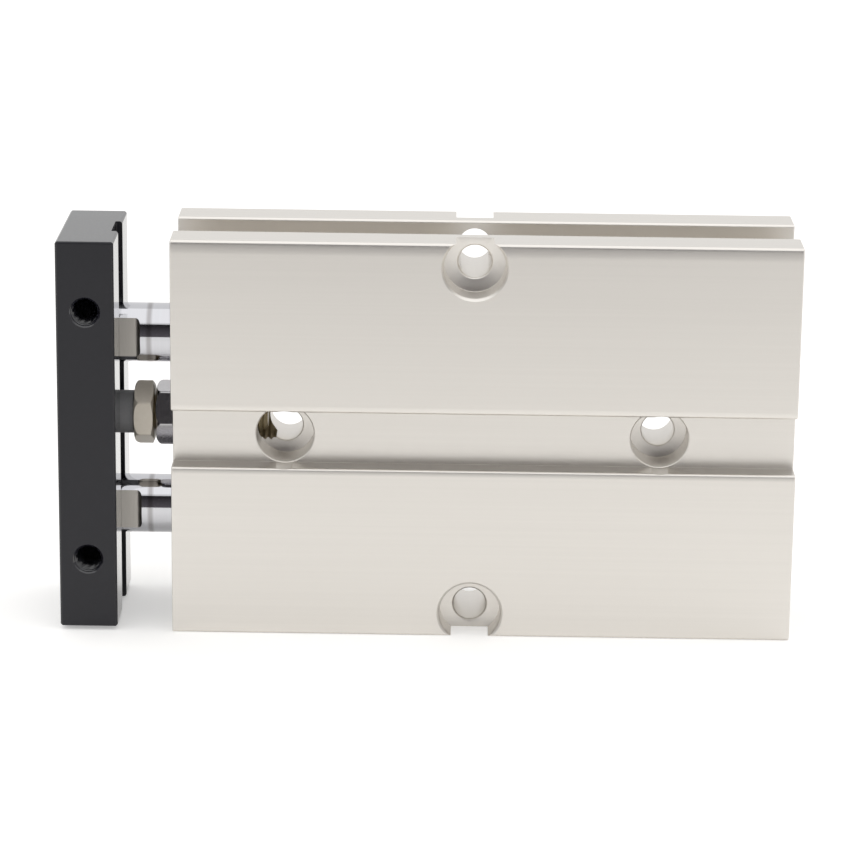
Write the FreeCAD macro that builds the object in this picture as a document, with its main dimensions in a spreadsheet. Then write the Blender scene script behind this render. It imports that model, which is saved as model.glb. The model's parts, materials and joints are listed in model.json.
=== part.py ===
import FreeCAD, Part
import math
import operator
import os
import Sketcher
from types import SimpleNamespace

# A twin-rod pneumatic cylinder, retracted, standing on one narrow side of its body.
# Millimetres. X runs along the rods towards the rear of the body, Y through the thin side, Z up.
# The origin is under the middle of the whole part, on the surface that it stands on.

doc = FreeCAD.newDocument("TwinRodCylinder")

DRIVING_SIZES = [
    # Extruded body
    ("body_length", 83, "length of the extrusion"),
    ("body_depth", 21, "front broad face to back broad face"),
    ("body_height", 54, "narrow face to narrow face"),
    ("edge_break", 0.4, "bevel on the long outer edges"),
    ("face_groove_width", 7.7, "groove along each broad face, wall to wall"),
    ("face_groove_depth", 3.4, "depth of that groove"),
    ("face_groove_break", 0.3, "bevel on the groove's mouth"),
    ("face_groove_fillet", 0.2, "radius in the groove's floor corners"),
    ("sensor_slot_width", 8.4, "slot along the upper narrow face"),
    ("sensor_slot_depth", 4.5, "depth of that slot"),
    ("sensor_slot_break", 0.35, "bevel on the slot's mouth"),
    # Bores
    ("rod_pitch", 24, "distance between the two bores"),
    ("bore_dia", 16, "piston bore"),
    ("seat_dia", 16.6, "wider bore that takes a cover or a cap"),
    ("seat_lead", 0.3, "bevel at the mouth of a seat"),
    ("front_seat_length", 10.5, "depth of the rod cover's seat"),
    ("rear_seat_length", 8, "depth of the end cap's seat"),
    ("clip_inset", 1.4, "end face to circlip groove"),
    ("clip_groove_width", 1.1, "width of the circlip groove"),
    ("clip_groove_dia", 17.4, "diameter of the circlip groove"),
    # Mounting holes through the body
    ("mount_hole_dia", 4.4, "clearance hole for an M4 screw"),
    ("edge_head_dia", 8.2, "screw-head recess beside a narrow face"),
    ("edge_head_depth", 4.3, "its depth below the broad face"),
    ("edge_head_break", 0.35, "bevel on its rim"),
    ("edge_hole_pitch", 47.5, "distance between the two edge holes"),
    ("edge_hole_station", 40, "front face of the body to the edge holes"),
    ("centre_head_dia", 7.7, "screw-head recess in the broad groove"),
    ("centre_head_depth", 8.2, "its depth below the broad face"),
    ("centre_head_break", 0.15, "bevel on its rim"),
    ("centre_hole_break", 0.3, "bevel at both ends of the hole below it"),
    ("centre_hole_pitch", 50, "distance between the two centre holes"),
    ("centre_hole_station", 15, "front face of the body to the first centre hole"),
    # Air ports in the lower narrow face
    ("port_dia", 4.2, "tapping drill of an M5 port"),
    ("port_depth", 4.6, "threaded depth of a port"),
    ("port_lead", 0.4, "bevel at a port's mouth"),
    ("air_drill_dia", 2, "drilling from a port through both bores"),
    ("air_drill_reach", 32, "how far that drilling runs up from the lower face"),
    ("front_port_station", 20, "front face of the body to the front port"),
    ("port_pitch", 51.5, "distance between the ports"),
    # End plate
    ("plate_thickness", 7.7, "end plate along the rods"),
    ("plate_height", 53, "end plate, same way as the body's height"),
    ("plate_depth", 20, "end plate, same way as the body's depth"),
    ("plate_gap", 7.4, "space between the plate and the body when retracted"),
    ("plate_corner", 0.3, "radius on the plate's four corners"),
    ("plate_break", 0.2, "bevel round the plate's two broad faces"),
    ("plate_groove_width", 6.1, "groove that keys the rods' flats"),
    ("plate_groove_depth", 0.9, "depth of that groove"),
    ("plate_hole_dia", 3.3, "tapping drill of the M4 holes in the plate's edges"),
    ("plate_hole_depth", 6, "depth of those holes at full diameter"),
    ("plate_hole_lead", 0.4, "bevel at their mouths"),
    ("plate_hole_pitch", 34, "distance between the two holes of an edge"),
    ("plate_screw_recess_dia", 9, "recess for a plate screw's head"),
    ("plate_screw_recess_depth", 3.8, "depth of that recess"),
    ("plate_screw_hole_dia", 5.5, "clearance hole of a plate screw"),
    # Rods
    ("rod_dia", 8, "piston rod"),
    ("rod_flat_width", 6, "across the two flats at the rod's front end"),
    ("rod_flat_length", 3.75, "length of those flats"),
    ("rod_flat_runout", 0.7, "radius in which the milling cutter left a flat"),
    ("rod_lead", 0.3, "bevel on the rod's front end"),
    ("rod_tap_depth", 12, "depth of the thread that takes a plate screw"),
    ("shank_dia", 6, "thinner rear end of the rod, inside the pistons"),
    ("shoulder_station", 52, "front face of the body to the rod's shoulder"),
    ("shank_length", 21.8, "shoulder to the rear end of the rod"),
    # M5 threads are drawn as plain cylinders
    ("thread_dia", 4.48, "pitch diameter of an M5 thread, as drawn on the plate screws"),
    ("thread_gap", 0.03, "drawn clearance round a thread, on the radius"),
    ("fit_gap", 0.03, "clearance round a seated ring or cover, on the radius"),
    ("running_gap", 0.05, "clearance round a sliding piece, on the radius"),
    # Plate screws
    ("screw_head_dia", 8.5, "low head"),
    ("screw_head_height", 3.5, "low head"),
    ("screw_length", 12, "under the head"),
    ("screw_sink", 0.2, "head below the plate's face"),
    ("screw_socket_width", 4, "across the flats of the hexagon socket"),
    ("screw_socket_depth", 2.2, "depth of the socket"),
    ("small_break", 0.3, "bevel on small turned edges"),
    # Stop screw, its nut and its bumper
    ("stop_rise", 0.9, "stop screw above the middle between the rods"),
    ("stop_screw_dia", 5, "M5 shank"),
    ("stop_hex_width", 7.7, "across the flats of the head and of the nut"),
    ("stop_hex_crown", 0.7, "turned bevel on the front corners of a hexagon"),
    ("stop_hex_chamfer", 0.3, "smaller one on its rear corners"),
    ("stop_head_height", 2.65, "head of the stop screw"),
    ("stop_nut_height", 2.65, "thin lock nut"),
    ("stop_nut_gap", 0.3, "space between the head and the nut"),
    ("stop_nut_turn", 22.5, "degrees that the nut stands turned from the head"),
    ("stop_screw_reach", 12.4, "front face of the body to the screw's tip"),
    ("stop_hole_depth", 13, "tapped hole, open to the first centre hole"),
    ("bumper_dia", 5.8, "rubber bumper"),
    ("bumper_stem_dia", 2.4, "its stem in the screw's head"),
    ("bumper_stem_length", 1.5, "length of the stem"),
    ("bumper_socket_depth", 1.7, "depth of the hole for the stem"),
    ("bumper_clearance", 0.1, "left between the bumper and the plate"),
    # Rod cover, its seal, its bush and its ring
    ("cover_nose_length", 6, "part of the cover inside the bore"),
    ("seal_pocket_dia", 12.4, "pocket for the rod seal"),
    ("seal_pocket_depth", 3.8, "depth of that pocket"),
    ("cover_throat_dia", 8.6, "hole between the seal and the bush"),
    ("cover_throat_length", 0.7, "length of that hole"),
    ("bush_dia", 10, "outside of the rod bush"),
    ("ring_groove_dia", 14, "floor of an O-ring groove"),
    ("ring_groove_width", 2, "width of an O-ring groove"),
    ("cover_ring_station", 3, "front of the cover to its O-ring groove"),
    ("ring_side_gap", 0.05, "side clearance of a ring in its groove"),
    ("ring_round", 0.45, "bevel that rounds a squeezed O-ring"),
    ("seal_length", 3.5, "rod seal"),
    ("seal_lip_depth", 1.8, "depth of the groove between a seal's lips"),
    ("rod_seal_lip_dia", 9.6, "outside of the inner lip"),
    ("rod_seal_heel_dia", 11, "inside of the outer lip"),
    # Circlips
    ("clip_thickness", 1, "circlip"),
    ("clip_band", 1.3, "width of the circlip's ring"),
    ("clip_opening", 3, "gap between the circlip's ends"),
    ("clip_lug_dia", 2.9, "round lug at each end"),
    ("clip_lug_circle", 13.2, "diameter of the circle that the lugs stand on"),
    ("clip_lug_offset", 2.4, "lug to the middle of the gap"),
    ("clip_lug_hole_dia", 1.2, "plier hole in a lug"),
    # End cap and its cushion
    ("cap_ring_station", 1.8, "front of the cap to its O-ring groove"),
    ("cap_dish_dia", 12, "shallow dish in the cap's outer face"),
    ("cap_dish_depth", 0.6, "depth of that dish"),
    ("rear_cushion_dia", 9, "rubber disc in the end cap"),
    ("rear_cushion_length", 1.5, "thickness of that disc"),
    ("rear_cushion_seat", 1, "depth of its seat in the cap"),
    # Piston and what rides on it
    ("front_cushion_dia", 11.2, "rubber sleeve in front of the piston"),
    ("front_cushion_length", 4.8, "length of that sleeve"),
    ("front_piston_length", 6.5, "front half of the piston"),
    ("front_seal_station", 1.6, "front of that half to its seal groove"),
    ("magnet_length", 4, "sensing magnet"),
    ("magnet_dia", 14.6, "sensing magnet"),
    ("rear_piston_length", 7.5, "rear half of the piston"),
    ("wear_ring_station", 0.8, "front of that half to its wear ring's groove"),
    ("wear_ring_width", 2.2, "width of that groove"),
    ("wear_groove_dia", 14, "floor of that groove"),
    ("wear_ring_slit", 0.6, "cut through the wear ring"),
    ("rear_seal_station", 3.9, "front of that half to its seal groove"),
    ("piston_groove_width", 3, "width of a piston seal's groove"),
    ("piston_groove_dia", 11.8, "floor of that groove"),
    ("piston_seal_lip_depth", 1.4, "depth of the groove between its lips"),
    ("piston_seal_lip_dia", 14.7, "inside of the outer lip"),
    ("piston_seal_heel_dia", 13, "outside of the inner lip"),
    ("piston_nut_width", 10, "across the flats of the piston nut"),
    ("piston_nut_height", 3.2, "height of the piston nut"),
]

HEX_SIDES = 6
HEX_CORNER = 1 / math.sqrt(3)
FULL_TURN = 360
DRILL_POINT = math.tan(math.radians(31))
PAIR = 2
LEVELS = ("upper", "lower")
# How far a cut runs past the face that it leaves by, and what counts as no length at all
MARGIN = 1
TINY = 1e-6
ARITHMETIC = {"+": operator.add, "-": operator.sub, "*": operator.mul, "/": operator.truediv}


class Size:
    # A length that knows its number and the sheet formula behind it.
    def __init__(self, value, text):
        self.value = value
        self.text = text

    def __add__(self, other):
        return joined(self, "+", other)

    def __radd__(self, other):
        return joined(other, "+", self)

    def __sub__(self, other):
        return joined(self, "-", other)

    def __rsub__(self, other):
        return joined(other, "-", self)

    def __mul__(self, other):
        return joined(self, "*", other)

    def __truediv__(self, other):
        return joined(self, "/", other)

    def __neg__(self):
        return joined(self, "*", -1)


def as_size(length):
    return length if isinstance(length, Size) else Size(float(length), f"({float(length)})")


def joined(first, sign, second):
    first = as_size(first)
    second = as_size(second)
    value = ARITHMETIC[sign](first.value, second.value)
    return Size(value, f"({first.text} {sign} {second.text})")


def fill_sheet():
    sheet = doc.addObject("Spreadsheet::Sheet", "Sizes")
    sizes = SimpleNamespace()
    for row, (alias, value, meaning) in enumerate(DRIVING_SIZES, start=1):
        sheet.set(f"A{row}", alias)
        sheet.set(f"B{row}", str(value))
        sheet.setAlias(f"B{row}", alias)
        sheet.set(f"C{row}", meaning)
        setattr(sizes, alias, Size(float(value), f"Sizes.{alias}"))
    doc.recompute()
    return sizes


dim = fill_sheet()

# Stations along X, counted from the body's front face, and the two rod axes
overall_length = dim.body_length + dim.plate_gap + dim.plate_thickness
body_front = dim.plate_gap + dim.plate_thickness - overall_length / 2
middle_height = dim.body_height / 2
axis_height = {
    "upper": middle_height + dim.rod_pitch / 2,
    "lower": middle_height - dim.rod_pitch / 2,
}
cover_station = dim.clip_inset + dim.clip_groove_width
cover_flange_length = dim.front_seat_length - cover_station
cover_length = cover_flange_length + dim.cover_nose_length
cap_station = dim.body_length - dim.rear_seat_length
cap_length = dim.rear_seat_length - cover_station
groove_floor_station = -dim.plate_gap - dim.plate_groove_depth
stop_head_station = -dim.stop_nut_height - dim.stop_nut_gap - dim.stop_head_height
bush_start = dim.seal_pocket_depth + dim.cover_throat_length
magnet_station = dim.shoulder_station + dim.front_piston_length
rear_piston_station = magnet_station + dim.magnet_length
piston_nut_station = rear_piston_station + dim.rear_piston_length
seat_ring_radius = dim.seat_dia / 2 - dim.fit_gap
rod_hole_radius = dim.rod_dia / 2 + dim.running_gap
piston_radius = dim.bore_dia / 2 - dim.running_gap
shank_hole_radius = dim.shank_dia / 2 + dim.fit_gap


def origin_feature(body, role):
    for feature in body.Origin.OriginFeatures:
        if feature.Role == role:
            return feature
    raise ValueError(f"no origin feature {role}")


def new_body(label):
    body = doc.addObject("PartDesign::Body", label)
    body.Label = label
    return body


def bind(target, path, length):
    target.setExpression(path, as_size(length).text)


def sketch_on(body, name, role, shift=(0, 0, 0)):
    # A sketch on one of the body's own planes, moved within the plane's frame by shift.
    sketch = body.newObject("Sketcher::SketchObject", name)
    sketch.AttachmentSupport = (origin_feature(body, role), [""])
    sketch.MapMode = "FlatFace"
    for letter, length in zip("xyz", shift):
        bind(sketch, f"AttachmentOffset.Base.{letter}", length)
    return sketch


def pin_point(sketch, curve, end, x, y):
    # Fixes a point of the sketch by its two distances from the sketch's origin.
    for kind, axis_line, length in (("DistanceX", -2, x), ("DistanceY", -1, y)):
        length = as_size(length)
        if abs(length.value) < TINY:
            sketch.addConstraint(Sketcher.Constraint("PointOnObject", curve, end, axis_line))
            continue
        index = sketch.addConstraint(Sketcher.Constraint(kind, -1, 1, curve, end, length.value))
        bind(sketch, f"Constraints[{index}]", length)


def step(start, finish):
    # Unit direction of a straight run, as two plain numbers.
    run_x = as_size(finish[0]).value - as_size(start[0]).value
    run_y = as_size(finish[1]).value - as_size(start[1]).value
    reach = math.hypot(run_x, run_y)
    return run_x / reach, run_y / reach


def along(point, direction, distance):
    return point[0] + distance * direction[0], point[1] + distance * direction[1]


def outline(sketch, corners):
    # A closed outline. A corner is (x, y), or (x, y, "bevel" or "round", size) between runs at right angles.
    points = []
    arcs = {}
    for index, corner in enumerate(corners):
        spot = corner[:2]
        if len(corner) == 2:
            points.append(spot)
            continue
        way_in = step(corners[index - 1][:2], spot)
        way_out = step(spot, corners[(index + 1) % len(corners)][:2])
        if corner[2] == "round":
            turn = way_in[0] * way_out[1] - way_in[1] * way_out[0]
            centre = along(along(spot, way_in, -corner[3]), way_out, corner[3])
            arcs[len(points)] = (centre, corner[3], turn > 0)
        points.append(along(spot, way_in, -corner[3]))
        points.append(along(spot, way_out, corner[3]))
    vectors = [FreeCAD.Vector(as_size(x).value, as_size(y).value, 0) for x, y in points]
    ends = []
    for index, start in enumerate(vectors):
        finish = vectors[(index + 1) % len(vectors)]
        if index not in arcs:
            ends.append((sketch.addGeometry(Part.LineSegment(start, finish), False), 1, 2))
            continue
        centre, radius, left_turn = arcs[index]
        hub = FreeCAD.Vector(centre[0].value, centre[1].value, 0)
        first, last = (start, finish) if left_turn else (finish, start)
        angles = [math.atan2(end.y - hub.y, end.x - hub.x) for end in (first, last)]
        circle = Part.Circle(hub, FreeCAD.Vector(0, 0, 1), radius.value)
        curve = sketch.addGeometry(Part.ArcOfCircle(circle, angles[0], angles[1]), False)
        ends.append((curve, 1, 2) if left_turn else (curve, 2, 1))
    for index, (curve, start_end, finish_end) in enumerate(ends):
        follower, follower_start, _ = ends[(index + 1) % len(ends)]
        sketch.addConstraint(Sketcher.Constraint("Coincident", curve, finish_end, follower, follower_start))
        pin_point(sketch, curve, start_end, *points[index])
        if index in arcs:
            radius = arcs[index][1]
            constraint = sketch.addConstraint(Sketcher.Constraint("Radius", curve, radius.value))
            bind(sketch, f"Constraints[{constraint}]", radius)


def round_outline(sketch, x, y, radius):
    radius = as_size(radius)
    centre = FreeCAD.Vector(as_size(x).value, as_size(y).value, 0)
    circle = Part.Circle(centre, FreeCAD.Vector(0, 0, 1), radius.value)
    curve = sketch.addGeometry(circle, False)
    pin_point(sketch, curve, 3, x, y)
    constraint = sketch.addConstraint(Sketcher.Constraint("Radius", curve, radius.value))
    bind(sketch, f"Constraints[{constraint}]", radius)


def hexagon(sketch, across_flats):
    # Two of the flats face along the sketch's first axis.
    corner_radius = across_flats * HEX_CORNER
    side_angle = FULL_TURN / HEX_SIDES
    corners = []
    for side in range(HEX_SIDES):
        angle = math.radians(side_angle * side + side_angle / 2)
        corners.append((corner_radius * math.cos(angle), corner_radius * math.sin(angle)))
    outline(sketch, corners)


def rectangle(sketch, left, bottom, right, top):
    outline(sketch, [(left, bottom), (right, bottom), (right, top), (left, top)])


def cut_done(body, volume_before):
    # A cut that points away from the solid takes nothing off and gives no other sign.
    doc.recompute()
    if body.Shape.Volume > volume_before - TINY:
        raise RuntimeError(f"{body.Label}: a cut took nothing off")


def pad(body, sketch, length):
    feature = body.newObject("PartDesign::Pad", "Pad")
    feature.Profile = sketch
    bind(feature, "Length", length)
    doc.recompute()
    return feature


def pocket(body, sketch, length, into_plus):
    # into_plus cuts along the sketch plane's own normal.
    volume = body.Shape.Volume
    feature = body.newObject("PartDesign::Pocket", "Pocket")
    feature.Profile = sketch
    feature.Reversed = into_plus
    bind(feature, "Length", length)
    cut_done(body, volume)


def turned_solid(body, corners):
    # A solid of revolution about X; a corner is (station, radius).
    sketch = sketch_on(body, "Profile", "XY_Plane")
    outline(sketch, corners)
    feature = body.newObject("PartDesign::Revolution", "Turned")
    feature.Profile = sketch
    feature.ReferenceAxis = (sketch, ["H_Axis"])
    feature.Angle = FULL_TURN
    doc.recompute()


def turned_cut(body, role, shift, corners, axis):
    volume = body.Shape.Volume
    sketch = sketch_on(body, "CutProfile", role, shift)
    outline(sketch, corners)
    feature = body.newObject("PartDesign::Groove", "TurnedCut")
    feature.Profile = sketch
    feature.ReferenceAxis = (sketch, [axis])
    feature.Angle = FULL_TURN
    cut_done(body, volume)
    return feature


def repeated_cut(body, cut, axis_role, distance):
    # The cut and one copy of it, a distance along one of the body's axes.
    volume = body.Shape.Volume
    pattern = body.newObject("PartDesign::LinearPattern", "Repeated")
    pattern.Originals = [cut]
    pattern.Direction = (origin_feature(body, axis_role), [""])
    pattern.Occurrences = PAIR
    bind(pattern, "Length", distance)
    body.Tip = pattern
    cut_done(body, volume)


def place(body, station, y, z):
    for letter, length in zip("xyz", (body_front + station, y, z)):
        bind(body, f"Placement.Base.{letter}", length)


def make_cylinder_body():
    body = new_body("cylinder_body")
    depth = dim.body_depth
    height = dim.body_height
    outer = ("bevel", dim.edge_break)
    mouth = ("bevel", dim.face_groove_break)
    floor = ("round", dim.face_groove_fillet)
    slot = ("bevel", dim.sensor_slot_break)
    low = (height - dim.face_groove_width) / 2
    high = (height + dim.face_groove_width) / 2
    slot_left = (depth - dim.sensor_slot_width) / 2
    slot_right = (depth + dim.sensor_slot_width) / 2
    slot_floor = height - dim.sensor_slot_depth
    back_floor = depth - dim.face_groove_depth
    section = sketch_on(body, "Section", "YZ_Plane")
    outline(section, [
        (0, 0, *outer),
        (depth, 0, *outer),
        (depth, low, *mouth),
        (back_floor, low, *floor),
        (back_floor, high, *floor),
        (depth, high, *mouth),
        (depth, height, *outer),
        (slot_right, height, *slot),
        (slot_right, slot_floor),
        (slot_left, slot_floor),
        (slot_left, height, *slot),
        (0, height, *outer),
        (0, high, *mouth),
        (dim.face_groove_depth, high, *floor),
        (dim.face_groove_depth, low, *floor),
        (0, low, *mouth),
    ])
    pad(body, section, dim.body_length)
    cut_bores(body)
    cut_edge_holes(body)
    cut_centre_holes(body)
    cut_ports(body)
    stop_hole = sketch_on(body, "StopHole", "YZ_Plane")
    hole_radius = dim.stop_screw_dia / 2 + dim.thread_gap
    round_outline(stop_hole, depth / 2, middle_height + dim.stop_rise, hole_radius)
    pocket(body, stop_hole, dim.stop_hole_depth, True)
    place(body, 0, -depth / 2, 0)
    return body


def cut_bores(body):
    # Each bore is wider at both ends, where a cover or a cap sits behind a circlip.
    end = dim.body_length
    bore = dim.bore_dia / 2
    seat = dim.seat_dia / 2
    clip = dim.clip_groove_dia / 2
    lower_bore = turned_cut(body, "XY_Plane", (0, dim.body_depth / 2, axis_height["lower"]), [
        (0, 0),
        (0, seat + dim.seat_lead),
        (dim.seat_lead, seat),
        (dim.clip_inset, seat),
        (dim.clip_inset, clip),
        (cover_station, clip),
        (cover_station, seat),
        (dim.front_seat_length, seat),
        (dim.front_seat_length, bore),
        (cap_station, bore),
        (cap_station, seat),
        (end - cover_station, seat),
        (end - cover_station, clip),
        (end - dim.clip_inset, clip),
        (end - dim.clip_inset, seat),
        (end - dim.seat_lead, seat),
        (end, seat + dim.seat_lead),
        (end, 0),
    ], "H_Axis")
    repeated_cut(body, lower_bore, "Z_Axis", dim.rod_pitch)


def cut_edge_holes(body):
    # The recess for the screw head is wider than the wall beside it, so it opens the narrow face.
    depth = dim.body_depth
    hole = dim.mount_hole_dia / 2
    head = dim.edge_head_dia / 2
    rim = dim.edge_head_break
    lowest = (dim.body_height - dim.edge_hole_pitch) / 2
    lower_hole = turned_cut(body, "XY_Plane", (dim.edge_hole_station, 0, lowest), [
        (0, 0),
        (head + rim, 0),
        (head, rim),
        (head, dim.edge_head_depth),
        (hole, dim.edge_head_depth),
        (hole, depth - dim.edge_head_depth),
        (head, depth - dim.edge_head_depth),
        (head, depth - rim),
        (head + rim, depth),
        (0, depth),
    ], "V_Axis")
    repeated_cut(body, lower_hole, "Z_Axis", dim.edge_hole_pitch)


def cut_centre_holes(body):
    # The bevelling cutter is wider than the groove, so it nicks both walls down to the groove's floor.
    # The recess is in the front face only; the hole leaves through the floor of the rear groove.
    depth = dim.body_depth
    hole = dim.mount_hole_dia / 2
    head = dim.centre_head_dia / 2
    cutter = head + dim.centre_head_break
    floor = dim.face_groove_depth
    bevel_end = floor + dim.centre_head_break
    recess = dim.centre_head_depth
    mouth = dim.centre_hole_break
    front_hole = turned_cut(body, "XY_Plane", (dim.centre_hole_station, 0, middle_height), [
        (0, 0),
        (cutter, 0),
        (cutter, floor),
        (head, bevel_end),
        (head, recess),
        (hole + mouth, recess),
        (hole, recess + mouth),
        (hole, depth - floor - mouth),
        (hole + mouth, depth - floor),
        (hole + mouth, depth),
        (0, depth),
    ], "V_Axis")
    repeated_cut(body, front_hole, "X_Axis", dim.centre_hole_pitch)


def cut_ports(body):
    # One drilling from each port crosses the lower bore and the web, so both bores share the air.
    thread = dim.port_dia / 2
    drill = dim.air_drill_dia / 2
    front_port = turned_cut(body, "XZ_Plane", (dim.front_port_station, 0, -dim.body_depth / 2), [
        (0, 0),
        (thread + dim.port_lead, 0),
        (thread, dim.port_lead),
        (thread, dim.port_depth),
        (drill, dim.port_depth + (thread - drill) * DRILL_POINT),
        (drill, dim.air_drill_reach),
        (0, dim.air_drill_reach),
    ], "V_Axis")
    repeated_cut(body, front_port, "X_Axis", dim.port_pitch)


def make_end_plate():
    body = new_body("end_plate")
    half_depth = dim.plate_depth / 2
    half_height = dim.plate_height / 2
    corner = ("round", dim.plate_corner)
    face = sketch_on(body, "Face", "YZ_Plane")
    outline(face, [
        (-half_depth, -half_height, *corner),
        (half_depth, -half_height, *corner),
        (half_depth, half_height, *corner),
        (-half_depth, half_height, *corner),
    ])
    slab = pad(body, face, dim.plate_thickness)
    break_face_edges(body, slab)
    groove = sketch_on(body, "KeyGroove", "YZ_Plane", (0, 0, dim.plate_thickness))
    half_groove = dim.plate_groove_width / 2
    rectangle(groove, -half_groove, -half_height - MARGIN, half_groove, half_height + MARGIN)
    pocket(body, groove, dim.plate_groove_depth, False)
    cut_plate_screw_holes(body)
    cut_plate_edge_holes(body)
    place(body, -dim.plate_gap - dim.plate_thickness, 0, middle_height)
    return body


def break_face_edges(body, slab):
    # Every edge that lies in one of the slab's two broad faces.
    names = []
    for index, edge in enumerate(slab.Shape.Edges, start=1):
        if edge.BoundBox.XLength < TINY:
            names.append(f"Edge{index}")
    chamfer = body.newObject("PartDesign::Chamfer", "BrokenEdges")
    chamfer.Base = (slab, names)
    bind(chamfer, "Size", dim.plate_break)
    doc.recompute()


def cut_plate_screw_holes(body):
    recess = dim.plate_screw_recess_dia / 2
    hole = dim.plate_screw_hole_dia / 2
    lower_hole = turned_cut(body, "XY_Plane", (0, 0, -dim.rod_pitch / 2), [
        (0, 0),
        (0, recess),
        (dim.plate_screw_recess_depth, recess),
        (dim.plate_screw_recess_depth, hole),
        (dim.plate_thickness, hole),
        (dim.plate_thickness, 0),
    ], "H_Axis")
    repeated_cut(body, lower_hole, "Z_Axis", dim.rod_pitch)


def cut_plate_edge_holes(body):
    # Blind tapped holes with a drill point, two in the front edge and two in the back edge.
    thread = dim.plate_hole_dia / 2
    edge = dim.plate_depth / 2
    floor = edge - dim.plate_hole_depth
    shift = (dim.plate_thickness / 2, 0, -dim.plate_hole_pitch / 2)
    for side in (-1, 1):
        lower_hole = turned_cut(body, "XY_Plane", shift, [
            (0, edge * side),
            (thread + dim.plate_hole_lead, edge * side),
            (thread, (edge - dim.plate_hole_lead) * side),
            (thread, floor * side),
            (0, (floor - thread * DRILL_POINT) * side),
        ], "V_Axis")
        repeated_cut(body, lower_hole, "Z_Axis", dim.plate_hole_pitch)


def make_piston_rod(level):
    body = new_body(f"{level}_piston_rod")
    rod = dim.rod_dia / 2
    shank = dim.shank_dia / 2
    thread = dim.thread_dia / 2 + dim.thread_gap
    shoulder = dim.shoulder_station - groove_floor_station
    end = shoulder + dim.shank_length
    turned_solid(body, [
        (0, thread),
        (0, rod, "bevel", dim.rod_lead),
        (shoulder, rod),
        (shoulder, shank),
        (end, shank, "bevel", dim.small_break),
        (end, 0),
        (dim.rod_tap_depth, 0),
        (dim.rod_tap_depth, thread),
    ])
    cut_rod_flats(body)
    place(body, groove_floor_station, 0, axis_height[level])
    return body


def cut_rod_flats(body):
    # Both flats are milled across the rod and end in the round of the cutter's edge.
    half_flat = dim.rod_flat_width / 2
    length = dim.rod_flat_length
    clear = dim.rod_dia / 2 + MARGIN
    corner = ("round", dim.rod_flat_runout)
    flats = sketch_on(body, "Flats", "XY_Plane", (0, 0, -clear))
    outline(flats, [
        (-MARGIN, half_flat),
        (length, half_flat, *corner),
        (length, clear),
        (-MARGIN, clear),
    ])
    outline(flats, [
        (-MARGIN, -clear),
        (length, -clear),
        (length, -half_flat, *corner),
        (-MARGIN, -half_flat),
    ])
    pocket(body, flats, clear * 2, True)


def make_plate_screw(level):
    body = new_body(f"{level}_plate_screw")
    head = dim.screw_head_dia / 2
    thread = dim.thread_dia / 2
    end = dim.screw_head_height + dim.screw_length
    turned_solid(body, [
        (0, 0),
        (0, head, "bevel", dim.small_break),
        (dim.screw_head_height, head),
        (dim.screw_head_height, thread),
        (end, thread, "bevel", dim.small_break),
        (end, 0),
    ])
    socket = sketch_on(body, "Socket", "YZ_Plane")
    hexagon(socket, dim.screw_socket_width)
    pocket(body, socket, dim.screw_socket_depth, True)
    place(body, dim.screw_sink - dim.plate_gap - dim.plate_thickness, 0, axis_height[level])
    return body


def turn_hexagon_corners(body, across_flats, height):
    # The turned bevels that leave curved edges on both ends of a hexagon's faces.
    corner = across_flats * HEX_CORNER
    inner = across_flats / 2
    outer = corner + MARGIN
    slope = (outer - inner) / (corner - inner)
    for start, reach in ((0, dim.stop_hex_crown), (height, -dim.stop_hex_chamfer)):
        turned_cut(body, "XY_Plane", (0, 0, 0), [
            (start, inner),
            (start, outer),
            (start + reach * slope, outer),
        ], "H_Axis")


def make_stop_screw():
    body = new_body("stop_screw")
    shank = dim.stop_screw_dia / 2
    stem = dim.bumper_stem_dia / 2 + dim.running_gap
    end = dim.stop_screw_reach - stop_head_station
    head = sketch_on(body, "Head", "YZ_Plane")
    hexagon(head, dim.stop_hex_width)
    pad(body, head, dim.stop_head_height)
    turn_hexagon_corners(body, dim.stop_hex_width, dim.stop_head_height)
    turned_solid(body, [
        (dim.stop_head_height / 2, 0),
        (dim.stop_head_height / 2, shank),
        (end, shank, "bevel", dim.edge_break),
        (end, 0),
    ])
    turned_cut(body, "XY_Plane", (0, 0, 0), [
        (0, 0),
        (0, stem),
        (dim.bumper_socket_depth, stem),
        (dim.bumper_socket_depth, 0),
    ], "H_Axis")
    place(body, stop_head_station, 0, middle_height + dim.stop_rise)
    return body


def make_stop_lock_nut():
    body = new_body("stop_lock_nut")
    hole = dim.stop_screw_dia / 2 + dim.thread_gap
    face = sketch_on(body, "Face", "YZ_Plane")
    hexagon(face, dim.stop_hex_width)
    pad(body, face, dim.stop_nut_height)
    turn_hexagon_corners(body, dim.stop_hex_width, dim.stop_nut_height)
    bore = sketch_on(body, "Bore", "YZ_Plane")
    round_outline(bore, 0, 0, hole)
    pocket(body, bore, dim.stop_nut_height, True)
    place(body, -dim.stop_nut_height, 0, middle_height + dim.stop_rise)
    body.Placement.Rotation = FreeCAD.Rotation(FreeCAD.Vector(1, 0, 0), 0)
    bind(body, "Placement.Rotation.Angle", -dim.stop_nut_turn)
    return body


def make_stop_bumper():
    body = new_body("stop_bumper")
    bumper = dim.bumper_dia / 2
    stem = dim.bumper_stem_dia / 2
    front = groove_floor_station + dim.bumper_clearance
    length = stop_head_station - dim.running_gap - front
    turned_solid(body, [
        (0, 0),
        (0, bumper, "bevel", dim.small_break),
        (length, bumper),
        (length, stem),
        (length + dim.bumper_stem_length, stem),
        (length + dim.bumper_stem_length, 0),
    ])
    place(body, front, 0, middle_height + dim.stop_rise)
    return body


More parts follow.
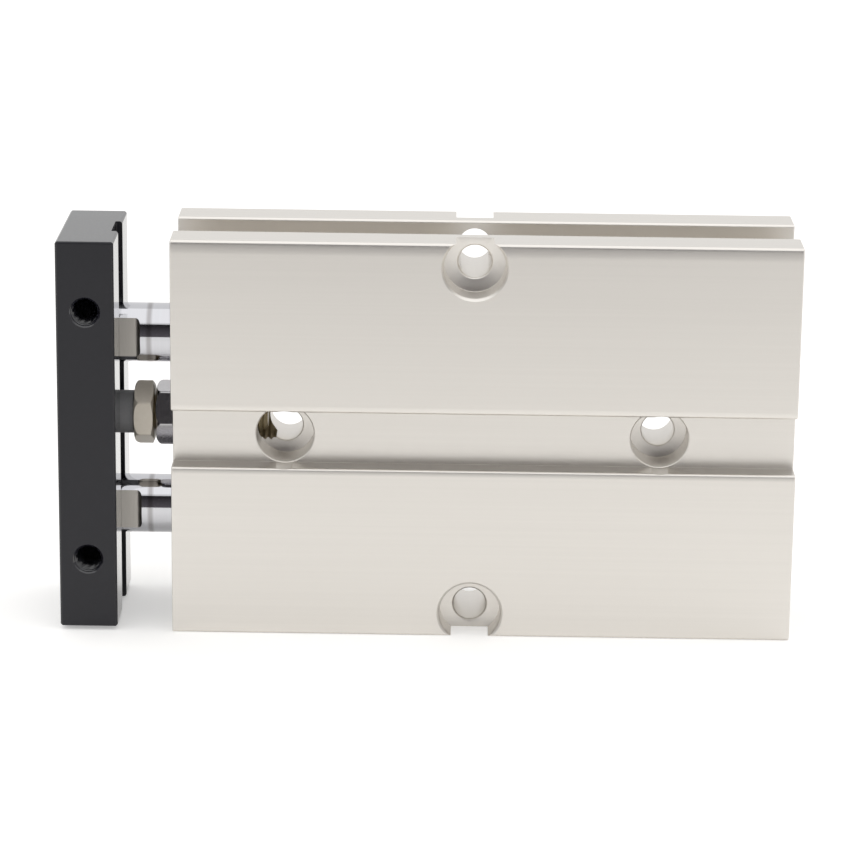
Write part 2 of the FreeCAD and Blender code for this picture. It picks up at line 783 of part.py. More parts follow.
def make_rod_cover(level):
    body = new_body(f"{level}_rod_cover")
    nose = dim.bore_dia / 2 - dim.fit_gap
    pocket_radius = dim.seal_pocket_dia / 2
    throat = dim.cover_throat_dia / 2
    bush = dim.bush_dia / 2 + dim.fit_gap
    ring_floor = dim.ring_groove_dia / 2
    ring_start = dim.cover_ring_station
    ring_end = ring_start + dim.ring_groove_width
    turned_solid(body, [
        (0, pocket_radius),
        (0, seat_ring_radius, "bevel", dim.small_break),
        (ring_start, seat_ring_radius),
        (ring_start, ring_floor),
        (ring_end, ring_floor),
        (ring_end, seat_ring_radius),
        (cover_flange_length, seat_ring_radius),
        (cover_flange_length, nose),
        (cover_length, nose, "bevel", dim.small_break),
        (cover_length, bush),
        (bush_start, bush),
        (bush_start, throat),
        (dim.seal_pocket_depth, throat),
        (dim.seal_pocket_depth, pocket_radius),
    ])
    place(body, cover_station, 0, axis_height[level])
    return body


def make_o_ring(label, station, level):
    # A ring squeezed flat between the groove's floor and the seat, with rounded corners.
    body = new_body(label)
    inner = dim.ring_groove_dia / 2 + dim.fit_gap
    width = dim.ring_groove_width - dim.ring_side_gap * 2
    corner = ("bevel", dim.ring_round)
    turned_solid(body, [
        (0, inner, *corner),
        (0, seat_ring_radius, *corner),
        (width, seat_ring_radius, *corner),
        (width, inner, *corner),
    ])
    place(body, station + dim.ring_side_gap, 0, axis_height[level])
    return body


def make_rod_seal(level):
    # A lip seal: the groove between its lips faces the pressure side.
    body = new_body(f"{level}_rod_seal")
    outside = dim.seal_pocket_dia / 2 - dim.fit_gap
    heel = dim.rod_seal_heel_dia / 2
    lip = dim.rod_seal_lip_dia / 2
    length = dim.seal_length
    lip_floor = length - dim.seal_lip_depth
    turned_solid(body, [
        (0, rod_hole_radius),
        (0, outside, "bevel", dim.small_break),
        (length, outside),
        (length, heel),
        (lip_floor, heel),
        (lip_floor, lip),
        (length, lip),
        (length, rod_hole_radius),
    ])
    station = cover_station + dim.seal_pocket_depth - length - dim.ring_side_gap
    place(body, station, 0, axis_height[level])
    return body


def make_rod_bush(level):
    body = new_body(f"{level}_rod_bush")
    outside = dim.bush_dia / 2
    length = cover_length - bush_start - dim.ring_side_gap
    turned_solid(body, [
        (0, rod_hole_radius),
        (0, outside),
        (length, outside, "bevel", dim.small_break),
        (length, rod_hole_radius),
    ])
    place(body, cover_station + bush_start, 0, axis_height[level])
    return body


def make_circlip(label, station, level):
    # A spring ring with a gap below and a pierced lug at each end.
    body = new_body(label)
    outside = dim.clip_groove_dia / 2 - dim.fit_gap
    inside = outside - dim.clip_band
    lug_level = -dim.clip_lug_circle / 2
    ring = sketch_on(body, "Ring", "YZ_Plane")
    round_outline(ring, 0, 0, outside)
    round_outline(ring, 0, 0, inside)
    pad(body, ring, dim.clip_thickness)
    gap = sketch_on(body, "Gap", "YZ_Plane")
    half_gap = dim.clip_opening / 2
    rectangle(gap, -half_gap, -outside - MARGIN, half_gap, 0)
    pocket(body, gap, dim.clip_thickness, True)
    for side in (-1, 1):
        lug = sketch_on(body, "Lug", "YZ_Plane")
        round_outline(lug, dim.clip_lug_offset * side, lug_level, dim.clip_lug_dia / 2)
        pad(body, lug, dim.clip_thickness)
        hole = sketch_on(body, "PlierHole", "YZ_Plane")
        round_outline(hole, dim.clip_lug_offset * side, lug_level, dim.clip_lug_hole_dia / 2)
        pocket(body, hole, dim.clip_thickness, True)
    place(body, station, 0, axis_height[level])
    return body


def make_end_cap(level):
    body = new_body(f"{level}_end_cap")
    cushion = dim.rear_cushion_dia / 2 + dim.fit_gap
    ring_floor = dim.ring_groove_dia / 2
    ring_end = dim.cap_ring_station + dim.ring_groove_width
    dish = dim.cap_dish_dia / 2
    dish_floor = cap_length - dim.cap_dish_depth
    turned_solid(body, [
        (dim.rear_cushion_seat, 0),
        (dim.rear_cushion_seat, cushion),
        (0, cushion),
        (0, seat_ring_radius, "bevel", dim.small_break),
        (dim.cap_ring_station, seat_ring_radius),
        (dim.cap_ring_station, ring_floor),
        (ring_end, ring_floor),
        (ring_end, seat_ring_radius),
        (cap_length, seat_ring_radius, "bevel", dim.small_break),
        (cap_length, dish),
        (dish_floor, dish),
        (dish_floor, 0),
    ])
    place(body, cap_station, 0, axis_height[level])
    return body


def make_rear_cushion(level):
    body = new_body(f"{level}_rear_cushion")
    radius = dim.rear_cushion_dia / 2
    turned_solid(body, [
        (0, 0),
        (0, radius, "bevel", dim.small_break),
        (dim.rear_cushion_length, radius),
        (dim.rear_cushion_length, 0),
    ])
    station = cap_station + dim.rear_cushion_seat - dim.rear_cushion_length
    place(body, station, 0, axis_height[level])
    return body


def make_sleeve(label, station, level, inside, outside, length):
    # A plain ring with its outer edges broken.
    body = new_body(label)
    edge = ("bevel", dim.small_break)
    turned_solid(body, [
        (0, inside),
        (0, outside, *edge),
        (length, outside, *edge),
        (length, inside),
    ])
    place(body, station, 0, axis_height[level])
    return body


def make_front_piston(level):
    body = new_body(f"{level}_front_piston")
    edge = ("bevel", dim.small_break)
    floor = dim.piston_groove_dia / 2
    groove_start = dim.front_seal_station
    groove_end = groove_start + dim.piston_groove_width
    length = dim.front_piston_length
    turned_solid(body, [
        (0, shank_hole_radius),
        (0, piston_radius, *edge),
        (groove_start, piston_radius),
        (groove_start, floor),
        (groove_end, floor),
        (groove_end, piston_radius),
        (length, piston_radius, *edge),
        (length, shank_hole_radius),
    ])
    place(body, dim.shoulder_station, 0, axis_height[level])
    return body


def make_rear_piston(level):
    body = new_body(f"{level}_rear_piston")
    edge = ("bevel", dim.small_break)
    wear_floor = dim.wear_groove_dia / 2
    wear_end = dim.wear_ring_station + dim.wear_ring_width
    seal_floor = dim.piston_groove_dia / 2
    seal_end = dim.rear_seal_station + dim.piston_groove_width
    length = dim.rear_piston_length
    turned_solid(body, [
        (0, shank_hole_radius),
        (0, piston_radius, *edge),
        (dim.wear_ring_station, piston_radius),
        (dim.wear_ring_station, wear_floor),
        (wear_end, wear_floor),
        (wear_end, piston_radius),
        (dim.rear_seal_station, piston_radius),
        (dim.rear_seal_station, seal_floor),
        (seal_end, seal_floor),
        (seal_end, piston_radius),
        (length, piston_radius, *edge),
        (length, shank_hole_radius),
    ])
    place(body, rear_piston_station, 0, axis_height[level])
    return body


def make_piston_seal(label, station, level, faces_front):
    # A lip seal whose open side faces the chamber that it holds.
    body = new_body(label)
    inside = dim.piston_groove_dia / 2 + dim.fit_gap
    outside = dim.bore_dia / 2 - dim.running_gap
    width = dim.piston_groove_width - dim.ring_side_gap * 2
    open_side = 0 if faces_front else width
    closed_side = width if faces_front else 0
    inward = 1 if faces_front else -1
    lip_floor = open_side + dim.piston_seal_lip_depth * inward
    turned_solid(body, [
        (open_side, inside),
        (open_side, dim.piston_seal_heel_dia / 2),
        (lip_floor, dim.piston_seal_heel_dia / 2),
        (lip_floor, dim.piston_seal_lip_dia / 2),
        (open_side, dim.piston_seal_lip_dia / 2),
        (open_side, outside),
        (closed_side, outside, "bevel", dim.small_break),
        (closed_side, inside),
    ])
    place(body, station + dim.ring_side_gap, 0, axis_height[level])
    return body


def make_wear_ring(level):
    label = f"{level}_wear_ring"
    inside = dim.wear_groove_dia / 2 + dim.fit_gap
    width = dim.wear_ring_width - dim.ring_side_gap * 2
    station = rear_piston_station + dim.wear_ring_station + dim.ring_side_gap
    body = make_sleeve(label, station, level, inside, piston_radius, width)
    slit = sketch_on(body, "Slit", "YZ_Plane")
    half_slit = dim.wear_ring_slit / 2
    rectangle(slit, -half_slit, 0, half_slit, piston_radius + MARGIN)
    pocket(body, slit, width, True)
    return body


def make_piston_nut(level):
    body = new_body(f"{level}_piston_nut")
    face = sketch_on(body, "Face", "YZ_Plane")
    hexagon(face, dim.piston_nut_width)
    pad(body, face, dim.piston_nut_height)
    bore = sketch_on(body, "Bore", "YZ_Plane")
    round_outline(bore, 0, 0, shank_hole_radius)
    pocket(body, bore, dim.piston_nut_height, True)
    place(body, piston_nut_station, 0, axis_height[level])
    return body


def make_level(level):
    # Everything on one rod's axis, from the plate to the rear end.
    clip_play = (dim.clip_groove_width - dim.clip_thickness) / 2
    cushion_station = dim.shoulder_station - dim.front_cushion_length
    front_seal = dim.shoulder_station + dim.front_seal_station
    rear_seal = rear_piston_station + dim.rear_seal_station
    rear_clip = dim.body_length - cover_station + clip_play
    return [
        make_piston_rod(level),
        make_plate_screw(level),
        make_rod_cover(level),
        make_o_ring(f"{level}_rod_cover_o_ring", cover_station + dim.cover_ring_station, level),
        make_rod_seal(level),
        make_rod_bush(level),
        make_circlip(f"{level}_front_circlip", dim.clip_inset + clip_play, level),
        make_end_cap(level),
        make_o_ring(f"{level}_end_cap_o_ring", cap_station + dim.cap_ring_station, level),
        make_circlip(f"{level}_rear_circlip", rear_clip, level),
        make_rear_cushion(level),
        make_sleeve(f"{level}_front_cushion", cushion_station, level,
                    dim.rod_dia / 2 + dim.fit_gap, dim.front_cushion_dia / 2, dim.front_cushion_length),
        make_front_piston(level),
        make_rear_piston(level),
        make_sleeve(f"{level}_magnet_ring", magnet_station, level,
                    shank_hole_radius, dim.magnet_dia / 2, dim.magnet_length),
        make_piston_seal(f"{level}_front_piston_seal", front_seal, level, True),
        make_piston_seal(f"{level}_rear_piston_seal", rear_seal, level, False),
        make_wear_ring(level),
        make_piston_nut(level),
    ]


def check_and_write(pieces):
    doc.recompute()
    for item in doc.Objects:
        if {"Invalid", "Error"} & set(item.State):
            raise RuntimeError(f"{item.Label} failed: {item.State}")
    for piece in pieces:
        shape = piece.Shape
        if shape.isNull() or not shape.isValid() or len(shape.Solids) != 1:
            raise RuntimeError(f"{piece.Label} is not one valid solid")
    os.makedirs("parts", exist_ok=True)
    for piece in pieces:
        piece.Shape.exportStep(f"parts/{piece.Label}.step")
        print(piece.Label, round(piece.Shape.Volume, 1), "mm3")


pieces = [make_cylinder_body(), make_end_plate(), make_stop_screw(), make_stop_lock_nut(), make_stop_bumper()]
for level in LEVELS:
    pieces += make_level(level)
check_and_write(pieces)
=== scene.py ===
import json
import math
import bmesh
import bpy
import numpy as np
from mathutils import Matrix


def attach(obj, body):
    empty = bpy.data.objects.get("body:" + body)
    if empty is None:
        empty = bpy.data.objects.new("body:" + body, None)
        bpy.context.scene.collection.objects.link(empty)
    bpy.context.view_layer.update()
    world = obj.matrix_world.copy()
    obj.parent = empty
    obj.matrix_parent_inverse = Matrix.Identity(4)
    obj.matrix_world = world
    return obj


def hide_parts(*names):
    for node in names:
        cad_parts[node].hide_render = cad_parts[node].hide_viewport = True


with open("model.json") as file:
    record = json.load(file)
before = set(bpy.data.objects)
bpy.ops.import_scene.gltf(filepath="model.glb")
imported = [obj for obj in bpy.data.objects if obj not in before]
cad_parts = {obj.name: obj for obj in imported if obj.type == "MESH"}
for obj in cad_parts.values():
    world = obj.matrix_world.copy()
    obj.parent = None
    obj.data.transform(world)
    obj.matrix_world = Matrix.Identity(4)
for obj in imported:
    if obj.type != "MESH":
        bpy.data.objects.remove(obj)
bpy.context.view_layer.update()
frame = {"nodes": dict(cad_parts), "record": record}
print("frame loaded:", len(frame["nodes"]), "solids")

# Sizes below are millimetres; X runs along the rods, Y from the front broad face to the back one, Z up.
mm = 0.001
front = -33.95  # X of the body's front end, where the rods come out
levels = {"upper": 39.0, "lower": 15.0}  # heights of the two rod axes
stopHeight = 27.9  # height of the stop screw's axis
m5Thread = {"pitch": 0.8, "depth": 0.4, "runOut": 0.5}
m4Thread = {"pitch": 0.7, "depth": 0.34, "runOut": 0.4}
threadSteps = 12  # rows of the grid to one pitch
drillSlope = math.tan(math.radians(31))  # depth of a drill's point over its radius
past = 1  # how far a cutter reaches past the face that it opens
hair = 0.01  # slack in tests of where a face lies


# Mesh tools

def gridFaces(rows, columns):
    # Quads between each point of a rows x columns grid and its next neighbours; the columns go round.
    row = np.arange(rows - 1)[:, None] * columns
    column = np.arange(columns)[None, :]
    nextColumn = (column + 1) % columns
    quads = (row + column, row + nextColumn, row + columns + nextColumn, row + columns + column)
    return np.stack(np.broadcast_arrays(*quads), -1).reshape(-1, 4)


def softCorners(corners, closed=True, steps=5):
    # Each corner (a, b, size, fullness) becomes a conic arc from size before it to size after it:
    # fullness 0 is a straight bevel and 0.7 a round. An open line keeps its two ends as they are.
    table = np.array([tuple(corner) + (0, 0) * (len(corner) == 2) for corner in corners], float)
    spot, size, fullness = table[:, :2], table[:, 2, None, None], table[:, 3, None, None]
    wayOut = np.roll(spot, -1, 0) - spot
    wayOut = wayOut / np.maximum(np.linalg.norm(wayOut, axis=1, keepdims=True), 1e-12)
    wayIn = np.roll(wayOut, 1, 0)
    t = np.linspace(0, 1, steps)[None, :, None]
    before, after, middle = (1 - t) ** 2, t ** 2, 2 * fullness * t * (1 - t)
    start = spot[:, None] - size * wayIn[:, None]
    end = spot[:, None] + size * wayOut[:, None]
    arcs = (before * start + middle * spot[:, None] + after * end) / (before + middle + after)
    if closed:
        return arcs.reshape(-1, 2)
    return np.concatenate([spot[:1], arcs[1:-1].reshape(-1, 2), spot[-1:]])


def newObject(name, points, faces):
    # Points in millimetres; doubles are merged and the normals turned outwards.
    mesh = bpy.data.meshes.new(name)
    mesh.from_pydata((np.asarray(points) * mm).tolist(), [], faces)
    work = bmesh.new()
    work.from_mesh(mesh)
    bmesh.ops.remove_doubles(work, verts=work.verts, dist=1e-7)
    bmesh.ops.recalc_face_normals(work, faces=work.faces)
    work.to_mesh(mesh)
    work.free()
    made = bpy.data.objects.new(name, mesh)
    bpy.context.scene.collection.objects.link(made)
    return made


def placed(first, second, third, axis):
    # Puts (along, across, across) coordinates on the axis that they belong to.
    order = {"x": (first, second, third), "y": (second, first, third), "z": (second, third, first)}
    return np.stack(order[axis], -1)


def spun(name, station, radius, axis, centre, turn=0):
    # A turned surface: row i, column j lies at station[i, j], radius[i, j] and angle turn + 2 pi j / columns.
    # A profile that starts and ends on the axis, or at the same point, closes when the doubles are merged.
    rows, columns = radius.shape
    angle = turn + np.linspace(0, 2 * np.pi, columns, endpoint=False)[None, :]
    points = placed(station, radius * np.cos(angle), radius * np.sin(angle), axis) + np.asarray(centre)
    return newObject(name, points.reshape(-1, 3), gridFaces(rows, columns).tolist())


def turned(name, corners, axis, centre, columns=96, closed=False, way=1, thread=None):
    # The profile (station, radius) goes round the axis; way -1 runs it backwards along the axis.
    profile = softCorners(corners, closed)
    if closed:
        profile = np.concatenate([profile, profile[:1]])
    if thread:
        profile = finelyDivided(profile, thread["pitch"] / threadSteps)
    station = np.repeat(profile[:, :1], columns, 1)
    radius = np.repeat(profile[:, 1:], columns, 1)
    if thread:
        radius = radius + threadDepth(station, columns, thread)
    return spun(name, station * way, radius, axis, centre)


def finelyDivided(profile, spacing):
    # The same line with its own points and more of them, no further apart than the spacing.
    run = np.concatenate([[0], np.cumsum(np.linalg.norm(np.diff(profile, axis=0), axis=1))])
    marks = np.union1d(run, np.arange(0, run[-1], spacing))
    return np.stack([np.interp(marks, run, profile[:, 0]), np.interp(marks, run, profile[:, 1])], -1)


def threadDepth(station, columns, thread):
    # A 60 degree thread: a triangle wave of the station less the turn, cut flat at crest and root,
    # fading to nothing over its run-out at either end.
    turn = np.linspace(0, 1, columns, endpoint=False)[None, :]
    phase = np.mod(station / thread["pitch"] - turn, 1)
    flat, flank = 0.14, 0.68  # shares of the wave's height: cut off below, and kept as the flank
    wave = np.clip((1 - np.abs(2 * phase - 1) - flat) / flank, 0, 1)
    fade = np.minimum(station - thread["start"], thread["end"] - station) / thread["runOut"]
    return wave * np.clip(fade, 0, 1) * thread["depth"]


def hexRadius(columns, acrossFlats, crispness=70):
    # A hexagon's radius by angle: half its width over the power mean of the cosines to its six sides.
    # A high power leaves corners that are only a little round. Two sides face along the first cross axis.
    angle = np.linspace(0, 2 * np.pi, columns, endpoint=False)
    cosine = np.maximum(np.cos(angle[:, None] - np.arange(6) * np.pi / 3), 0)
    return acrossFlats / 2 / (cosine ** crispness).sum(1) ** (1 / crispness)


def hexRows(s, height):
    # The outside of a hexagon, front to rear: a round crown turned on its front corners up to the
    # curve where it meets the sides, then the sides, then a small bevel turned on the rear corners.
    side = hexRadius(s["columns"], s["acrossFlats"])
    corner, crown = s["acrossFlats"] / math.sqrt(3), s["crown"]
    ring = s["acrossFlats"] / 2 - s["land"]
    share = np.array([0, 0.4, 0.75, 1])[:, None]  # rows of the crown, from the face to the sides
    rise = (side - corner + crown) * share
    crownStation = crown - np.sqrt(crown ** 2 - rise ** 2)
    drop = s["chamfer"] * (side - ring) / (corner - ring)
    rearStation = np.stack([height - drop, np.full_like(side, height)])
    rearRadius = np.stack([side, np.full_like(side, ring)])
    return np.concatenate([crownStation, rearStation]), np.concatenate([corner - crown + rise, rearRadius])


def carried(name, outline, stations, insets, axis, centre=(0, 0, 0)):
    # A closed outline carried straight along an axis; each ring is drawn in by its inset along the
    # corner normals.
    step = np.roll(outline, -1, 0) - outline
    step = step / np.maximum(np.linalg.norm(step, axis=1, keepdims=True), 1e-9)
    normal = np.stack([step[:, 1], -step[:, 0]], -1)
    before = np.roll(normal, 1, 0)
    mitre = (normal + before) / (1 + np.sum(normal * before, 1, keepdims=True))
    rings = outline[None] - np.asarray(insets)[:, None, None] * mitre[None]
    along = np.broadcast_to(np.asarray(stations, float)[:, None], rings.shape[:2])
    points = placed(along, rings[..., 0], rings[..., 1], axis) + np.asarray(centre)
    rows, columns = along.shape
    lids = [list(range(columns)), list(range((rows - 1) * columns, rows * columns))]
    return newObject(name, points.reshape(-1, 3), gridFaces(rows, columns).tolist() + lids)


def brokenEnds(length, edge, knee):
    # Stations and insets that break both ends of a carried outline: the inset falls from the whole edge
    # at the end to nothing one edge further in, past a knee that is the same share of both.
    along, inset = edge * np.array([0, knee, 1]), edge * np.array([1, knee, 0])
    return np.concatenate([along, length - along[::-1]]), np.concatenate([inset, inset[::-1]])


def mouth(radius, lead, *soft):
    # How a hole's profile starts: clear of the face, then in along a 45 degree bevel to its wall.
    return [(-past, 0), (-past, radius + lead + past), (lead, radius, *soft)]


def fromFarEnd(profile, length=0):
    # The same profile run backwards, its stations counted back from the length.
    return [(length - a, b, *rest) for a, b, *rest in reversed(profile)]


def cutAway(piece, cutters):
    # Takes each cutter's volume out of the piece and throws the cutter away. A cutter that has a finish
    # of its own leaves it on the faces that it cuts.
    for cutter in cutters:
        cut = piece.modifiers.new("cut", "BOOLEAN")
        cut.operation = "DIFFERENCE"
        cut.solver = "EXACT"
        cut.material_mode = "TRANSFER"
        cut.object = cutter
    graph = bpy.context.evaluated_depsgraph_get()
    carved = bpy.data.meshes.new_from_object(piece.evaluated_get(graph))
    piece.modifiers.clear()
    piece.data = carved
    for cutter in cutters:
        bpy.data.objects.remove(cutter)


def finishPiece(piece, body, node, material, sharp=32):
    # Smooth shading with edges over the sharp angle kept, flat faces held flat, and the ties to the frame.
    piece.data.shade_smooth()
    piece.data.set_sharp_from_angle(angle=math.radians(sharp))
    even = piece.modifiers.new("evenNormals", "WEIGHTED_NORMAL")
    even.keep_sharp = True
    if not any(piece.data.materials):  # a cut can leave an empty place for one
        piece.data.materials.clear()
        piece.data.materials.append(material)
    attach(piece, body)
    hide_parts(node)


def dressFaces(piece, material, picks):
    # A second finish on the faces that a test of their middles (in mm) and normals picks.
    faces, slots = piece.data.polygons, piece.data.materials
    middle, normal = np.empty(len(faces) * 3), np.empty(len(faces) * 3)
    index = np.empty(len(faces), np.int32)
    faces.foreach_get("center", middle)
    faces.foreach_get("normal", normal)
    faces.foreach_get("material_index", index)
    if material.name not in slots:
        slots.append(material)
    picked = picks(middle.reshape(-1, 3) / mm, normal.reshape(-1, 3))
    faces.foreach_set("material_index", np.where(picked, slots.find(material.name), index).astype(np.int32))


# Materials

def linear(hexText):
    # sRGB hex to the linear colour that the shaders take.
    value = np.array([int(hexText[i:i + 2], 16) for i in (1, 3, 5)]) / 255
    value = np.where(value <= 0.04045, value / 12.92, ((value + 0.055) / 1.055) ** 2.4)
    return (*value.tolist(), 1.0)


def addNode(tree, kind, links=None, sockets=None, **settings):
    # One node: its settings, the numbers on its sockets, and what is plugged into it.
    node = tree.nodes.new(kind)
    for key, value in settings.items():
        setattr(node, key, value)
    for key, value in (sockets or {}).items():
        node.inputs[key].default_value = value
    for key, source in (links or {}).items():
        tree.links.new(source, node.inputs[key])
    return node


def emptyTree(owner):
    # The node tree of a material or a world, with nothing in it yet.
    owner.use_nodes = True
    owner.node_tree.nodes.clear()
    return owner.node_tree


def surfaceMaterial(name, look):
    # Two tones mixed by a pattern, a roughness that follows a finer one, and a bump from both.
    # look["grain"] and look["fine"] are the patterns' sizes in mm along X, Y and Z.
    material = bpy.data.materials.new(name)
    tree = emptyTree(material)
    place = addNode(tree, "ShaderNodeTexCoord").outputs["Object"]
    tones = []
    for key in ("grain", "fine"):
        scale = [1 / (size * mm) for size in look[key]]
        spread = addNode(tree, "ShaderNodeMapping", {"Vector": place}, {"Scale": scale})
        noise = addNode(tree, "ShaderNodeTexNoise", {"Vector": spread.outputs["Vector"]},
                        {"Scale": 1.0, "Detail": 2.0, "Roughness": 0.55})
        tones.append(noise.outputs["Fac"])
    pair = {"A": linear(look["tone"][0]), "B": linear(look["tone"][1])}
    tint = addNode(tree, "ShaderNodeMix", {"Factor": tones[0]}, pair, data_type="RGBA").outputs["Result"]
    if "specks" in look:
        tint = addSpecks(tree, place, tint, look["specks"])
    if "ring" in look:
        tint = addRing(tree, place, tint, look["ring"])
    glossy, dull = look["rough"]
    gloss = addNode(tree, "ShaderNodeMapRange", {"Value": tones[1]},  # most of a noise lies in 0.3 to 0.7
                    {"From Min": 0.3, "From Max": 0.7, "To Min": glossy, "To Max": dull})
    height = addNode(tree, "ShaderNodeMath", {0: tones[0], 1: tones[1]}, operation="ADD")
    relief = 0.01 * mm  # how high the grain stands at full strength
    bump = addNode(tree, "ShaderNodeBump", {"Height": height.outputs[0]},
                   {"Strength": look["bump"], "Distance": relief})
    sources = {"Base Color": tint, "Roughness": gloss.outputs["Result"], "Normal": bump.outputs["Normal"]}
    shader = addNode(tree, "ShaderNodeBsdfPrincipled", sources,
                     {"Metallic": look["metal"], **look.get("shader", {})})
    addNode(tree, "ShaderNodeOutputMaterial", {"Surface": shader.outputs["BSDF"]})
    return material


def addSpecks(tree, place, tint, specks):
    # Sparse small marks: cells of a set size, each with a soft dot in it, and only some of the dots kept.
    scale = [1 / (specks["spacing"] * mm)] * 3
    spread = addNode(tree, "ShaderNodeMapping", {"Vector": place}, {"Scale": scale})
    cells = addNode(tree, "ShaderNodeTexVoronoi", {"Vector": spread.outputs["Vector"]}, {"Scale": 1.0})
    reach = specks["width"] / specks["spacing"] / 2
    dot = addNode(tree, "ShaderNodeMapRange", {"Value": cells.outputs["Distance"]},
                  {"From Min": reach, "From Max": reach * 0.5, "To Min": 0.0, "To Max": specks["strength"]})
    pick = addNode(tree, "ShaderNodeMath", {0: cells.outputs["Color"]}, {1: specks["share"]},
                   operation="LESS_THAN")
    both = addNode(tree, "ShaderNodeMath", {0: dot.outputs["Result"], 1: pick.outputs[0]},
                   operation="MULTIPLY")
    marked = addNode(tree, "ShaderNodeMix", {"Factor": both.outputs[0], "A": tint},
                     {"B": linear(specks["tone"])}, data_type="RGBA")
    return marked.outputs["Result"]


def addRing(tree, place, tint, ring):
    # A soft-edged band round the X axis, at a set station and of a set width.
    along = addNode(tree, "ShaderNodeSeparateXYZ", {"Vector": place})
    offset = addNode(tree, "ShaderNodeMath", {0: along.outputs["X"]}, {1: ring["station"] * mm},
                     operation="SUBTRACT")
    away = addNode(tree, "ShaderNodeMath", {0: offset.outputs[0]}, operation="ABSOLUTE")
    band = addNode(tree, "ShaderNodeMapRange", {"Value": away.outputs[0]},
                   {"From Min": ring["width"] * mm, "From Max": ring["width"] * 0.3 * mm})
    marked = addNode(tree, "ShaderNodeMix", {"Factor": band.outputs["Result"], "A": tint},
                     {"B": linear(ring["tone"])}, data_type="RGBA")
    return marked.outputs["Result"]


